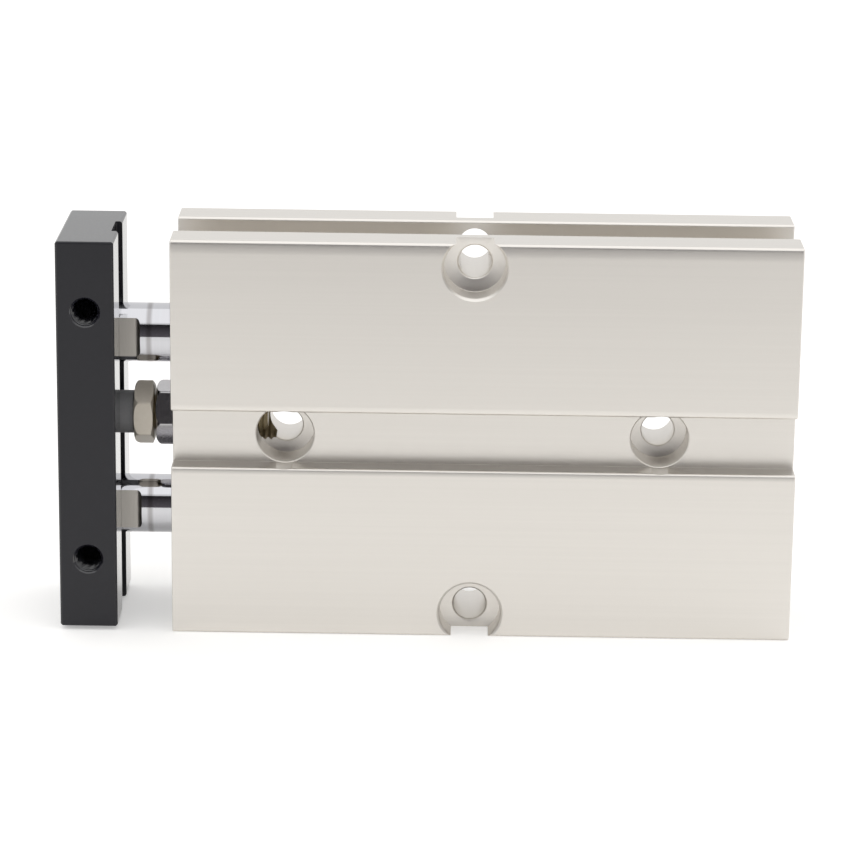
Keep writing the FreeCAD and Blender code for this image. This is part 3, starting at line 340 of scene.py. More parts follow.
# Etched, blasted and ground grain is finer than this in life: it is drawn as coarse as it needs to show.
looks = {
    # Extruded aluminium, etched satin and clear anodised: warm pale grey, faint long die lines, a few specks.
    "anodisedAluminium": {"tone": ("#EBE7E1", "#F0ECE6"), "grain": (70, 0.5, 0.5), "fine": (0.25, 0.25, 0.25),
                          "rough": (0.33, 0.39), "bump": 0.03, "metal": 1.0,
                          "specks": {"spacing": 9, "width": 0.25, "share": 0.3, "strength": 0.4,
                                     "tone": "#A09480"}},
    # Black anodised aluminium, bead blasted: near black with a soft sheen that turns pale at a low angle.
    "blackAnodised": {"tone": ("#17171D", "#1B1B22"), "grain": (0.6, 0.6, 0.6), "fine": (0.2, 0.2, 0.2),
                      "rough": (0.28, 0.36), "bump": 0.06, "metal": 0.0,
                      "shader": {"IOR": 1.3, "Coat Weight": 1.0, "Coat IOR": 1.34, "Coat Roughness": 0.3,
                                 "Sheen Weight": 0.5, "Sheen Roughness": 0.2}},
    # The same black on finely milled faces: smooth enough to mirror whatever lies along them.
    "blackMilled": {"tone": ("#17171D", "#1B1B22"), "grain": (0.6, 0.6, 0.6), "fine": (0.2, 0.2, 0.2),
                    "rough": (0.16, 0.2), "bump": 0.01, "metal": 0.0,
                    "shader": {"IOR": 1.5, "Coat Weight": 1.0, "Coat Roughness": 0.07}},
    # Hard chrome, ground and polished: a mirror with the faintest rings left by the wheel, and one dull
    # ring where the seal's lip rests.
    "hardChrome": {"tone": ("#D1D1D5", "#D7D7DB"), "grain": (0.15, 8, 8), "fine": (0.08, 5, 5),
                   "rough": (0.05, 0.09), "bump": 0.02, "metal": 1.0,
                   "ring": {"station": front - 3.4, "width": 0.5, "tone": "#AFADAF"}},
    # The rods' flats, milled through the chrome: plain grey steel with short cutter marks.
    "milledSteel": {"tone": ("#B4B0AA", "#BEBAB4"), "grain": (0.2, 3, 3), "fine": (0.12, 0.5, 0.5),
                    "rough": (0.34, 0.42), "bump": 0.08, "metal": 1.0},
    # Nickel plated steel, dulled by handling: warm silver grey that keeps its tone when turned.
    "nickelPlate": {"tone": ("#D2CABC", "#DAD2C6"), "grain": (0.5, 0.5, 0.5), "fine": (0.1, 0.4, 0.4),
                    "rough": (0.36, 0.44), "bump": 0.05, "metal": 0.25},
    # Painted shade for threads deep in holes: olive brown, standing in for the warm dark shade inside a
    # tapped hole.
    "paintedThreadShade": {"tone": ("#9C8D6E", "#B5A686"), "grain": (0.3, 0.3, 0.3), "fine": (0.1, 0.1, 0.1),
                    "rough": (0.3, 0.42), "bump": 0.06, "metal": 0.2},
    # Bright zinc plated steel: cool silver, glossy.
    "zincPlate": {"tone": ("#B9B7B9", "#C9C7C8"), "grain": (0.6, 0.6, 0.6), "fine": (0.12, 0.4, 0.4),
                  "rough": (0.12, 0.2), "bump": 0.04, "metal": 1.0},
    # Black oxide on steel: dark, oily, half dull.
    "blackOxide": {"tone": ("#1E1E20", "#2A2A2C"), "grain": (0.4, 0.4, 0.4), "fine": (0.15, 0.15, 0.15),
                   "rough": (0.3, 0.42), "bump": 0.08, "metal": 0.7},
    # Nitrile rubber, moulded: matt dark grey with a fine skin.
    "nitrileRubber": {"tone": ("#464648", "#525254"), "grain": (0.4, 0.4, 0.4), "fine": (0.12, 0.12, 0.12),
                      "rough": (0.5, 0.65), "bump": 0.15, "metal": 0.0},
    # The bumper's rubber, rubbed pale by the plate: matt mid grey.
    "paleRubber": {"tone": ("#7C7C7E", "#88888A"), "grain": (0.4, 0.4, 0.4), "fine": (0.12, 0.12, 0.12),
                   "rough": (0.55, 0.7), "bump": 0.12, "metal": 0.0},
    # Cast polyurethane: amber brown, smooth, half matt.
    "polyurethane": {"tone": ("#8F6A32", "#9C763B"), "grain": (1.2, 1.2, 1.2), "fine": (0.2, 0.2, 0.2),
                     "rough": (0.35, 0.45), "bump": 0.08, "metal": 0.0},
    # Turned aluminium, bare: bright, with fine tool rings along the axis.
    "turnedAluminium": {"tone": ("#C6C6C8", "#D6D6D7"), "grain": (0.12, 3, 3), "fine": (0.1, 0.5, 0.5),
                        "rough": (0.25, 0.35), "bump": 0.08, "metal": 1.0},
    # Sintered bronze: brown gold, full of small pores.
    "sinteredBronze": {"tone": ("#8A6433", "#A87D46"), "grain": (0.3, 0.3, 0.3), "fine": (0.12, 0.12, 0.12),
                       "rough": (0.35, 0.55), "bump": 0.25, "metal": 1.0},
    # Phosphated spring steel: dark grey and dull.
    "phosphatedSteel": {"tone": ("#3B3936", "#4B4945"), "grain": (0.35, 0.35, 0.35),
                        "fine": (0.12, 0.12, 0.12), "rough": (0.4, 0.55), "bump": 0.12, "metal": 0.85},
    # Ferrite powder bonded in plastic: charcoal grey.
    "bondedFerrite": {"tone": ("#29292A", "#38383A"), "grain": (0.25, 0.25, 0.25), "fine": (0.1, 0.1, 0.1),
                      "rough": (0.5, 0.65), "bump": 0.15, "metal": 0.0},
    # Acetal: white, waxy, smooth.
    "acetal": {"tone": ("#DEDCD4", "#E8E6DF"), "grain": (1.5, 1.5, 1.5), "fine": (0.2, 0.2, 0.2),
               "rough": (0.3, 0.4), "bump": 0.05, "metal": 0.0},
}
finish = {name: surfaceMaterial(name, look) for name, look in looks.items()}
print("materials made:", len(finish))


# Body

bodySizes = {
    "length": 83, "depth": 21, "height": 54, "endEdge": 0.16, "endKnee": 0.3,
    "edge": {"size": 0.36, "run": 1.2, "lean": 0.13},
    "groove": {"width": 7.7, "depth": 3.4, "fillet": 0.015, "edge": {"size": 0.28, "run": 0.6, "lean": 0.1}},
    "slot": {"width": 8.4, "depth": 4.5, "edge": 0.35, "fillet": 0.03},
    "bore": {"radius": 8, "seat": 8.3, "clip": 8.7, "clipStart": 1.4, "clipEnd": 2.5, "lead": 0.3,
             "frontSeat": 10.5, "rearSeat": 8},
    "edgeHole": {"station": 40, "pitch": 47.5, "hole": 2.2, "rim": 0.26, "head": 4.1, "depth": 4.3,
                 "edge": 0.35},
    "centreHole": {"station": 15, "pitch": 50, "hole": 2.2, "mouth": 0.12, "head": 3.85, "depth": 8.2,
                   "edge": 0.16, "rise": 0.11,
                   "rear": {"start": 11.4, "step": 0.2, "radius": 2.5, "lead": 0.25}},
    "port": {"stations": (20, 71.5), "radius": 2.1, "depth": 4.6, "lead": 0.4, "threadStart": 0.3,
             "drill": 1.0, "reach": 32},
    "stopHole": {"radius": 2.53, "depth": 13.6, "lead": 0.2, "short": 0.1,
                 "runOut": {"radius": 3.05, "start": 9.6, "drop": 0.7, "thread": 0.2}},
}


def bodySection(s):
    # The extrusion's outline in Y and Z, anticlockwise, with every corner's own break. Tumbling has worn
    # the broad faces: over a short run they lean in towards each edge before its bevel.
    back, top = s["depth"] / 2, s["height"]
    g, slot = s["groove"], s["slot"]
    low, high = (top - g["width"]) / 2, (top + g["width"]) / 2
    floor, slotFloor, half = back - g["depth"], top - slot["depth"], slot["width"] / 2
    fillet, lip, corner = (g["fillet"], 0.7), (slot["edge"], 0.3), (slot["fillet"], 0.7)

    def wornEdge(height, way, edge):
        worn = (back, height + way * edge["run"], edge["run"] * 0.5, 0.7)
        return [(back - edge["lean"], height, edge["size"], 0.35), worn][::way]

    right = [*wornEdge(0, 1, s["edge"]), *wornEdge(low, -1, g["edge"]), (floor, low, *fillet),
             (floor, high, *fillet), *wornEdge(high, 1, g["edge"]), *wornEdge(top, -1, s["edge"]),
             (half, top, *lip), (half, slotFloor, *corner)]
    return softCorners(right + fromFarEnd(right))


def boreCutter(s, height):
    # A stepped bore right through the body: bevelled mouth, circlip groove and seat at either end.
    b = s["bore"]
    seat, clip, near, far = b["seat"], b["clip"], b["clipStart"], b["clipEnd"]

    def boreEnd(depth):
        return [*mouth(seat, b["lead"]), (near, seat), (near, clip), (far, clip), (far, seat),
                (depth, seat), (depth, b["radius"])]

    return turned("boreCutter", boreEnd(b["frontSeat"]) + fromFarEnd(boreEnd(b["rearSeat"]), s["length"]),
                  "x", (front, 0, height), columns=128)


def edgeHoleCutter(s, height):
    # A through hole with a recess for a screw's head at either face; the rear half mirrors the front one.
    h, depth = s["edgeHole"], s["depth"]
    half = [*mouth(h["head"], h["edge"], 0.1, 0.4), (h["depth"], h["head"], 0.06, 0.6),
            (h["depth"], h["hole"], h["rim"], 0.3)]
    return turned("edgeHoleCutter", half + fromFarEnd(half, depth),
                  "y", (front + h["station"], -depth / 2, height), columns=128)


def centreHoleCutter(s, station):
    # A recess and a hole from the front groove, and a slightly wider drilling that meets it from the
    # rear groove.
    h, floor, rear = s["centreHole"], s["groove"]["depth"], s["depth"] - s["groove"]["depth"]
    head, hole, rim, step, wide = h["head"], h["hole"], h["head"] + h["edge"], h["mouth"], h["rear"]
    outlet, end = wide["radius"] + wide["lead"], s["depth"] + past
    return turned("centreHoleCutter", [
        (-past, 0), (-past, rim), (floor, rim, 0.03, 0.4), (floor + h["rise"], head, 0.03, 0.4),
        (h["depth"], head, 0.06, 0.6), (h["depth"], hole + step, 0.04, 0.4),
        (h["depth"] + step, hole, 0.04, 0.4), (wide["start"], hole),
        (wide["start"] + wide["step"], wide["radius"]), (rear - wide["lead"], wide["radius"]),
        (rear, outlet), (end, outlet), (end, 0)],
        "y", (front + station, -s["depth"] / 2, s["height"] / 2), columns=128)


def portCutter(s, station):
    # A tapped hole: the wall carries an M5 thread that runs out at the mouth and at the drill point.
    p = s["port"]
    cone = (p["radius"] - p["drill"]) * drillSlope
    return turned("portCutter", [
        *mouth(p["radius"], p["lead"]), (p["depth"], p["radius"]), (p["depth"] + cone, p["drill"]),
        (p["reach"], p["drill"]), (p["reach"], 0)],
        "z", (front + station, 0, 0), columns=72,
        thread=m5Thread | {"start": p["threadStart"], "end": p["depth"]})


def stopHoleCutters(s):
    # The tapped hole, and the wider run-out at its end that opens into the first centre hole's recess. Both
    # leave painted shade, the olive brown thread finish, on the faces that they cut.
    h, out = s["stopHole"], s["stopHole"]["runOut"]
    end = h["depth"] - h["short"]  # a little before the run-out's end, so that the two ends don't meet
    hole = turned("stopHoleCutter", [*mouth(h["radius"], h["lead"]), (end, h["radius"]), (end, 0)],
                  "x", (front, 0, stopHeight), columns=72)
    thread = m5Thread | {"depth": out["thread"], "start": out["start"], "end": h["depth"]}
    runOut = turned("runOutCutter", [
        (out["start"], 0), (out["start"], out["radius"]), (h["depth"], out["radius"]), (h["depth"], 0)],
        "x", (front, 0, stopHeight - out["drop"]), columns=72, thread=thread)
    for cutter in (hole, runOut):
        cutter.data.materials.append(finish["paintedThreadShade"])
    return [hole, runOut]


def makeBody(s):
    # The section carried along X, with its bores, holes and ports taken out.
    stations, insets = brokenEnds(s["length"], s["endEdge"], s["endKnee"])
    body = carried("cylinderBody", bodySection(s), stations + front, insets, "x")
    middle, half = s["height"] / 2, s["edgeHole"]["pitch"] / 2
    first, pitch = s["centreHole"]["station"], s["centreHole"]["pitch"]
    cutters = [boreCutter(s, height) for height in levels.values()]
    cutters += [edgeHoleCutter(s, middle + side * half) for side in (1, -1)]
    cutters += [centreHoleCutter(s, first + shift) for shift in (0, pitch)]
    cutters += [portCutter(s, station) for station in s["port"]["stations"]]
    cutters += stopHoleCutters(s)
    body.data.materials.append(finish["anodisedAluminium"])
    cutAway(body, cutters)
    finishPiece(body, "barrel", "cylinder_body", finish["anodisedAluminium"])


makeBody(bodySizes)
print("body made")


# End plate

plateSizes = {
    "outer": -15.1, "thickness": 7.7, "depth": 20, "height": 53, "middle": 27,
    "corner": 0.3, "edge": 0.28, "knee": 0.42,
    "groove": {"width": 6.1, "depth": 0.9, "edge": 0.1, "fillet": 0.15, "reach": (-2, 56)},
    "edgeHole": {"pitch": 34, "radius": 1.65, "depth": 6, "lead": 0.4, "threadStart": 0.2},
    "screwHole": {"recess": 4.5, "depth": 3.8, "radius": 2.75, "lead": 0.15},
}


def keyGrooveCutter(s):
    # The groove that keys the rods' flats, from top to bottom of the inner face.
    g, inner = s["groove"], s["outer"] + s["thickness"] + front
    half, floor, edge = g["width"] / 2, inner - g["depth"], g["edge"]
    side = [(floor, half, g["fillet"], 0.7), (inner - edge, half), (inner + past, half + past + edge)]
    outline = softCorners([(a, -b, *rest) for a, b, *rest in side] + side[::-1])
    return carried("keyGrooveCutter", outline, g["reach"], [0, 0], "z")


def plateEdgeHole(s, way, height):
    # A blind M4 hole: bevelled mouth, threaded wall, drill point. It is cut as bright as the milled faces.
    h = s["edgeHole"]
    point = h["depth"] + h["radius"] * drillSlope
    middle = s["outer"] + s["thickness"] / 2 + front
    hole = turned("plateEdgeHole", [
        *mouth(h["radius"], h["lead"]), (h["depth"], h["radius"]), (point, 0)],
        "y", (middle, -way * s["depth"] / 2, height), columns=72, way=way,
        thread=m4Thread | {"start": h["threadStart"], "end": h["depth"]})
    hole.data.materials.append(finish["blackMilled"])
    return hole


def plateScrewHole(s, height):
    # A recess for the screw's head, and its clearance hole on through the plate.
    h, end = s["screwHole"], s["thickness"] + past
    return turned("plateScrewHole", [
        *mouth(h["recess"], h["lead"], 0.05, 0.4), (h["depth"], h["recess"], 0.2, 0.6),
        (h["depth"], h["radius"]), (end, h["radius"]), (end, 0)], "x", (s["outer"] + front, 0, height))


def makePlate(s):
    # A rounded rectangle carried through the plate's thickness, with its groove and holes taken out.
    half, middle, corner = s["depth"] / 2, s["middle"], (s["corner"], 0.7)
    low, high = middle - s["height"] / 2, middle + s["height"] / 2
    spots = [(-half, low), (half, low), (half, high), (-half, high)]
    outline = softCorners([(*spot, *corner) for spot in spots], steps=9)
    stations, insets = brokenEnds(s["thickness"], s["edge"], s["knee"])
    plate = carried("endPlate", outline, stations + s["outer"] + front, insets, "x")
    cutters = [keyGrooveCutter(s)]
    cutters += [plateScrewHole(s, height) for height in levels.values()]
    rise = s["edgeHole"]["pitch"] / 2
    cutters += [plateEdgeHole(s, way, middle + rise * side) for way in (1, -1) for side in (1, -1)]
    plate.data.materials.append(finish["blackAnodised"])
    cutAway(plate, cutters)
    finishPiece(plate, "carriage", "end_plate", finish["blackAnodised"])
    squareToRods = 0.95  # least share of a normal along X, on the two milled faces
    dressFaces(plate, finish["blackMilled"], lambda middle, normal: np.abs(normal[:, 0]) > squareToRods)


makePlate(plateSizes)
print("end plate made")


# Rods and the screws that hold the plate on them

rodSizes = {
    "start": -8.3, "radius": 4, "lead": 0.3, "shoulder": 60.3, "shank": 3, "end": 82.1,
    "tap": {"radius": 2.27, "depth": 12, "lead": 0.4},
    "flat": {"half": 3, "length": 3.75, "runOut": 0.7},
}


def flatCutter(s, way, height):
    # One milled flat: a slot across the rod that ends in the curve of the cutter's corner.
    f, start, outer = s["flat"], s["start"] + front, s["radius"] + past
    end, clear = start + f["length"], start - past
    path = softCorners([(clear, f["half"]), (end, f["half"], f["runOut"], 0.7), (end, outer), (clear, outer)],
                       steps=11)
    path[:, 1] *= way
    return carried("flatCutter", path[::way], [height - outer, height + outer], [0, 0], "z")


def makeRod(level, height, s):
    # Turned from the tapped hole in the front end, over the outside to the thin rear end; then the flats.
    tap, radius, shank, shoulder, end = s["tap"], s["radius"], s["shank"], s["shoulder"], s["end"]
    rod = turned(f"{level}PistonRod", [
        (tap["depth"], 0), (tap["depth"], tap["radius"]), (tap["lead"], tap["radius"]),
        (0, tap["radius"] + tap["lead"]), (0, radius, s["lead"], 0.3), (shoulder, radius, 0.1, 0.4),
        (shoulder, shank, 0.2, 0.6), (end, shank, 0.3, 0.3), (end, 0)],
        "x", (s["start"] + front, 0, height), columns=160)
    cutAway(rod, [flatCutter(s, way, height) for way in (1, -1)])
    finishPiece(rod, "carriage", f"{level}_piston_rod", finish["hardChrome"])
    flatEnd, inside = s["start"] + front + s["flat"]["length"] + 5 * hair, radius - hair
    dressFaces(rod, finish["milledSteel"], lambda middle, normal: (
        (middle[:, 0] < flatEnd) & (np.hypot(middle[:, 1], middle[:, 2] - height) < inside)))


plateScrewSizes = {
    "start": -14.9, "head": 4.25, "headHeight": 3.5, "thread": 2.24, "length": 12,
    "socket": {"columns": 144, "width": 4, "depth": 2.2, "rim": 0.02, "lead": 0.2, "point": 0.6},
}


def socketCutter(s, height):
    # A hexagon punched into the head: a bevelled round mouth that meets the sides in curves, and a
    # blunt point.
    k = s["socket"]
    side = hexRadius(k["columns"], k["width"])
    corner, zero = k["width"] / math.sqrt(3), np.zeros(k["columns"])
    bevel = k["rim"] + k["lead"] * (corner - side) / (corner - k["width"] / 2)
    station = np.stack([zero - past, zero - past, bevel, zero + k["depth"], zero + k["depth"] + k["point"]])
    radius = np.stack([zero, zero + corner + past, side, side, zero])
    return spun("socketCutter", station, radius, "x", (s["start"] + front, 0, height))


def makePlateScrew(level, height, s):
    # Head and shank turned in one profile, then the socket.
    head, thread, seat, end = s["head"], s["thread"], s["headHeight"], s["headHeight"] + s["length"]
    screw = turned(f"{level}PlateScrew", [
        (0, 0), (0, head, 0.35, 0.6), (seat, head, 0.1, 0.5), (seat, thread, 0.15, 0.6),
        (end, thread, 0.3, 0.2), (end, 0)], "x", (s["start"] + front, 0, height), columns=144)
    cutAway(screw, [socketCutter(s, height)])
    finishPiece(screw, "carriage", f"{level}_plate_screw", finish["blackOxide"])


for level, height in levels.items():
    makeRod(level, height, rodSizes)
    makePlateScrew(level, height, plateScrewSizes)
print("rods and plate screws made")


# Stop screw, lock nut and bumper

stopSizes = {
    "columns": 216, "acrossFlats": 7.7, "crown": 1.0, "chamfer": 0.3, "land": 0.1,
    "screw": {"start": -5.6, "head": 2.65, "length": 18.0, "root": 2.08, "neck": 0.2, "tip": 0.5,
              "taper": 0.3, "stem": {"radius": 1.25, "depth": 1.7, "lead": 0.15},
              "thread": {"depth": 0.42, "runOut": 0.4, "end": 17.9}},
    "nut": {"start": -2.65, "height": 2.65, "bore": 2.53, "rim": 0.4, "lead": 0.35, "turn": -22.5},
    "bumper": {"start": -8.2, "radius": 2.9, "length": 2.55, "stem": 1.2, "end": 4.05, "edge": 0.4,
               "dish": {"depth": 0.12, "floor": 1.3, "rim": 1.6}},
}


def makeStopScrew(s):
    # One grid from the stem's hole over the hexagon head and down the threaded shank to the tip.
    k, columns, stem = s["screw"], s["columns"], s["screw"]["stem"]
    hexStation, hexSide = hexRows(s, k["head"])
    hole = np.array([(stem["depth"], 0), (stem["depth"], stem["radius"]), (stem["lead"], stem["radius"]),
                     (0, stem["radius"] + stem["lead"])])
    neck, end, root = k["head"] + k["neck"], k["length"], k["root"]
    shank = np.array([(k["head"], root + k["taper"]), (neck, root), (end - k["tip"], root),
                      (end, root - k["taper"])])
    shank = finelyDivided(shank, m5Thread["pitch"] / threadSteps)
    thread = m5Thread | k["thread"] | {"start": neck}
    shankStation = np.repeat(shank[:, :1], columns, 1)
    shankRadius = np.repeat(shank[:, 1:], columns, 1) + threadDepth(shankStation, columns, thread)
    ones = np.ones((1, columns))
    station = np.concatenate([hole[:, :1] * ones, hexStation, shankStation, end * ones])
    radius = np.concatenate([hole[:, 1:] * ones, hexSide, shankRadius, 0 * ones])
    screw = spun("stopScrew", station, radius, "x", (k["start"] + front, 0, stopHeight))
    finishPiece(screw, "stop_screw", "stop_screw", finish["nickelPlate"])
    headEnd = k["start"] + k["head"] + front
    # Painted shade on the shank: it takes the olive brown thread finish.
    dressFaces(screw, finish["paintedThreadShade"], lambda middle, normal: middle[:, 0] > headEnd - hair)


def makeStopNut(s):
    # A closed ring: front face, hexagon, rear face, and the bore with a bevel at either end.
    k, columns = s["nut"], s["columns"]
    hexStation, hexSide = hexRows(s, k["height"])
    wide, lead = k["bore"] + k["rim"], k["lead"]
    bore = np.array([(k["height"], wide), (k["height"] - lead, k["bore"]), (lead, k["bore"]), (0, wide)])
    ones = np.ones((1, columns))
    station = np.concatenate([hexStation, bore[:, :1] * ones, hexStation[:1]])
    radius = np.concatenate([hexSide, bore[:, 1:] * ones, hexSide[:1]])
    nut = spun("stopLockNut", station, radius, "x", (k["start"] + front, 0, stopHeight),
               turn=math.radians(k["turn"]))
    finishPiece(nut, "barrel", "stop_lock_nut", finish["zincPlate"])


def makeBumper(s):
    # A round pad with a shallow dish in its face, and the stem that holds it in the screw's head.
    k, dish = s["bumper"], s["bumper"]["dish"]
    bumper = turned("stopBumper", [
        (dish["depth"], 0), (dish["depth"], dish["floor"], 0.3, 0.5), (0, dish["rim"], 0.1, 0.5),
        (0, k["radius"], k["edge"], 0.7), (k["length"], k["radius"], 0.15, 0.7),
        (k["length"], k["stem"], 0.1, 0.7), (k["end"], k["stem"], 0.2, 0.7), (k["end"], 0)],
        "x", (k["start"] + front, 0, stopHeight))
    finishPiece(bumper, "stop_bumper", "stop_bumper", finish["paleRubber"])


makeStopScrew(stopSizes)
makeStopNut(stopSizes)
makeBumper(stopSizes)
print("stop made")


# Ends of the bores: rod covers with their seals, end caps and circlips

coverSizes = {
    "start": 2.5, "seat": 8.27, "flange": 8, "nose": 7.97, "length": 14, "throat": 4.3,
    "pocket": 6.2, "pocketDepth": 3.8, "bush": 5.03, "bushStart": 4.5,
    "ring": 7, "ringStart": 3, "ringEnd": 5,
}


def ringGroove(s):
    # The O-ring's groove in the outside of a cover or cap: down, along its floor and up.
    first, last, seat, floor = s["ringStart"], s["ringEnd"], s["seat"], s["ring"]
    return [(first, seat, 0.05, 0.5), (first, floor, 0.1, 0.6), (last, floor, 0.1, 0.6),
            (last, seat, 0.05, 0.5)]


def makeRodCover(level, height, s):
    # A closed profile: front face, seat with its groove, nose, then back through the bush's bore, the
    # throat and the seal's pocket.
    seat, nose, pocket, bush, throat = s["seat"], s["nose"], s["pocket"], s["bush"], s["throat"]
    flange, length, step, floor = s["flange"], s["length"], s["bushStart"], s["pocketDepth"]
    cover = turned(f"{level}RodCover", [
        (0, pocket, 0.15, 0.3), (0, seat, 0.3, 0.3), *ringGroove(s), (flange, seat, 0.1, 0.3),
        (flange, nose, 0.01, 0.3), (length, nose, 0.3, 0.3), (length, bush, 0.1, 0.3),
        (step, bush, 0.05, 0.3), (step, throat, 0.05, 0.3), (floor, throat, 0.05, 0.3),
        (floor, pocket, 0.2, 0.6)], "x", (s["start"] + front, 0, height), columns=128, closed=True)
    finishPiece(cover, "barrel", f"{level}_rod_cover", finish["turnedAluminium"])


sealSizes = {
    "start": 2.75, "inside": 4.05, "outside": 6.17, "length": 3.5, "heel": 5.5, "lip": 4.8, "lipFloor": 1.7,
    "wiper": {"start": 0.05, "edge": 0.35, "foot": 0.8}, "dish": {"depth": 0.5, "wall": 0.7, "rim": 0.4},
    "shoulder": 0.02,
}


def makeRodSeal(level, height, s):
    # A closed profile: the front lip, drawn in to a thin edge that wipes the rod, a dished face, and a
    # rear groove between heel and lip.
    inside, outside, wiper, dish = s["inside"], s["outside"], s["wiper"], s["dish"]
    length, heel, lip, floor = s["length"], s["heel"], s["lip"], s["lipFloor"]
    seal = turned(f"{level}RodSeal", [
        (wiper["start"], inside, 0.04, 0.5), (wiper["start"], inside + wiper["edge"], 0.15, 0.7),
        (dish["depth"], inside + wiper["foot"], 0.2, 0.7), (dish["depth"], outside - dish["wall"], 0.2, 0.7),
        (0, outside - dish["rim"], 0.15, 0.7), (s["shoulder"], outside, 0.1, 0.7),
        (length, outside, 0.1, 0.7), (length, heel, 0.1, 0.7), (floor, heel, 0.2, 0.7),
        (floor, lip, 0.2, 0.7), (length, lip, 0.1, 0.7), (length, inside, 0.1, 0.7)],
        "x", (s["start"] + front, 0, height), columns=128, closed=True)
    finishPiece(seal, "barrel", f"{level}_rod_seal", finish["nitrileRubber"])


capSizes = {
    "start": 75, "seat": 8.27, "length": 5.5, "cushion": 4.53, "cushionSeat": 1,
    "ring": 7, "ringStart": 1.8, "ringEnd": 3.8,
    "dish": {"radius": 6, "depth": 0.6, "slope": 0.4}, "centreMark": {"radius": 0.5, "depth": 0.4},
}


def makeEndCap(level, height, s):
    # From the cushion's seat over the outside with its groove to the dished rear face and its centre mark.
    seat, cushion, length, dish, mark = s["seat"], s["cushion"], s["length"], s["dish"], s["centreMark"]
    floor = length - dish["depth"]
    cap = turned(f"{level}EndCap", [
        (s["cushionSeat"], 0), (s["cushionSeat"], cushion, 0.1, 0.6), (0, cushion, 0.1, 0.3),
        (0, seat, 0.3, 0.3), *ringGroove(s), (length, seat, 0.3, 0.3), (length, dish["radius"], 0.15, 0.4),
        (floor, dish["radius"] - dish["slope"], 0.2, 0.6), (floor, mark["radius"], 0.1, 0.4),
        (floor - mark["depth"], 0)], "x", (s["start"] + front, 0, height), columns=128)
    finishPiece(cap, "barrel", f"{level}_end_cap", finish["turnedAluminium"])


clipSizes = {
    "outside": 8.67, "band": 1.3, "gap": 3, "thickness": 1, "edge": 0.07, "knee": 0.3,
    "starts": {"front": 1.45, "rear": 80.55}, "points": {"outer": 121, "inner": 97, "lug": 25},
    "lug": {"radius": 1.45, "offset": 2.4, "drop": 6.6, "hole": 0.6, "lead": 0.05},
}


def clipOutline(s):
    # Outer arc, a stamped end with a round lug, inner arc, and the other end; anticlockwise in Y and Z.
    # Each lug's arc runs from the gap to where its circle meets the inner arc, by the law of cosines.
    lug, outside, half, points = s["lug"], s["outside"], s["gap"] / 2, s["points"]
    inside, middle = outside - s["band"], np.array([lug["offset"], lug["drop"]])

    def arc(start, end, count, radius):
        angle = np.linspace(start, end, count)
        return np.stack([np.cos(angle), np.sin(angle)], -1) * radius

    reach = math.hypot(*middle)
    lean = math.atan2(*middle)
    meet = math.acos((reach ** 2 + inside ** 2 - lug["radius"] ** 2) / (2 * reach * inside)) + lean
    gap = math.asin(half / outside)
    down, whole = -np.pi / 2, 2 * np.pi
    outer = arc(down + gap, down + whole - gap, points["outer"], outside)
    inner = arc(down + whole - meet, down + meet, points["inner"], inside)
    overhang = lug["offset"] - half
    start = math.atan2(-math.sqrt(lug["radius"] ** 2 - overhang ** 2), overhang)
    across, up = middle - np.array([math.sin(meet), math.cos(meet)]) * inside
    leftLug = arc(start, math.atan2(up, across), points["lug"], lug["radius"]) - middle
    rightLug = leftLug[::-1] * (-1, 1)
    return np.concatenate([outer, leftLug, inner[1:-1], rightLug])


def makeCirclip(level, height, end, s):
    # The stamped outline carried through its thickness, with a hole for the pliers in each lug.
    lug, start = s["lug"], s["starts"][end] + front
    stations, insets = brokenEnds(s["thickness"], s["edge"], s["knee"])
    name = f"{level}{end.title()}Circlip"
    clip = carried(name, clipOutline(s), stations + start, insets, "x", (0, 0, height))
    half = mouth(lug["hole"], lug["lead"])
    profile = half + fromFarEnd(half, s["thickness"])
    places = [(start, lug["offset"] * side, height - lug["drop"]) for side in (1, -1)]
    cutAway(clip, [turned("plierHole", profile, "x", place, columns=32) for place in places])
    finishPiece(clip, "barrel", f"{level}_{end}_circlip", finish["phosphatedSteel"])


for level, height in levels.items():
    makeRodCover(level, height, coverSizes)
    makeRodSeal(level, height, sealSizes)
    makeEndCap(level, height, capSizes)
    for end in ("front", "rear"):
        makeCirclip(level, height, end, clipSizes)
print("bore ends made")


# Camera, as the photograph was taken

cameraSizes = {
    "lens": 148.04, "sensor": 36, "clip": (0.01, 20), "place": (2.6015, -456.4208, 153.1831),
    "right": (0.99988001, 0.0097407, 0.01204533), "down": (0.01421075, -0.26723369, -0.96352696),
    "ahead": (-0.00616651, 0.96358252, -0.26734004),
}


def makeCamera(s):
    # The columns of the turn are the image's right, its up and the way back from the object.
    data = bpy.data.cameras.new("camera")
    data.lens = s["lens"]
    data.sensor_width = s["sensor"]
    data.clip_start, data.clip_end = s["clip"]
    camera = bpy.data.objects.new("camera", data)
    turn = np.eye(4)
    turn[:3, 0] = s["right"]
    turn[:3, 1] = -np.array(s["down"])
    turn[:3, 2] = -np.array(s["ahead"])
    turn[:3, 3] = np.array(s["place"]) * mm
    camera.matrix_world = Matrix(turn.tolist())
    bpy.context.scene.collection.objects.link(camera)
    bpy.context.scene.camera = camera


makeCamera(cameraSizes)
print("camera placed")


# CAD solids, each with its real finish, which shows on those that no piece replaces

slotFinish = {
    "anodised_body": "anodisedAluminium", "black_plate": "blackAnodised", "hard_chrome": "hardChrome",
    "nickel_screw": "nickelPlate", "black_oxide_screw": "blackOxide",
    "black_rubber": "nitrileRubber", "cushion_rubber": "polyurethane", "plain_aluminium": "turnedAluminium",
    "bronze_bush": "sinteredBronze", "spring_steel": "phosphatedSteel", "bonded_magnet": "bondedFerrite",
    "acetal_ring": "acetal", "zinc_nut": "zincPlate",
}
for part in frame["record"]["subparts"]:
    node = frame["nodes"][part["node"]]
    node.data.materials.clear()
    node.data.materials.append(finish[slotFinish[part["material_slot"]]])
print("solids dressed")


# Studio, in metres

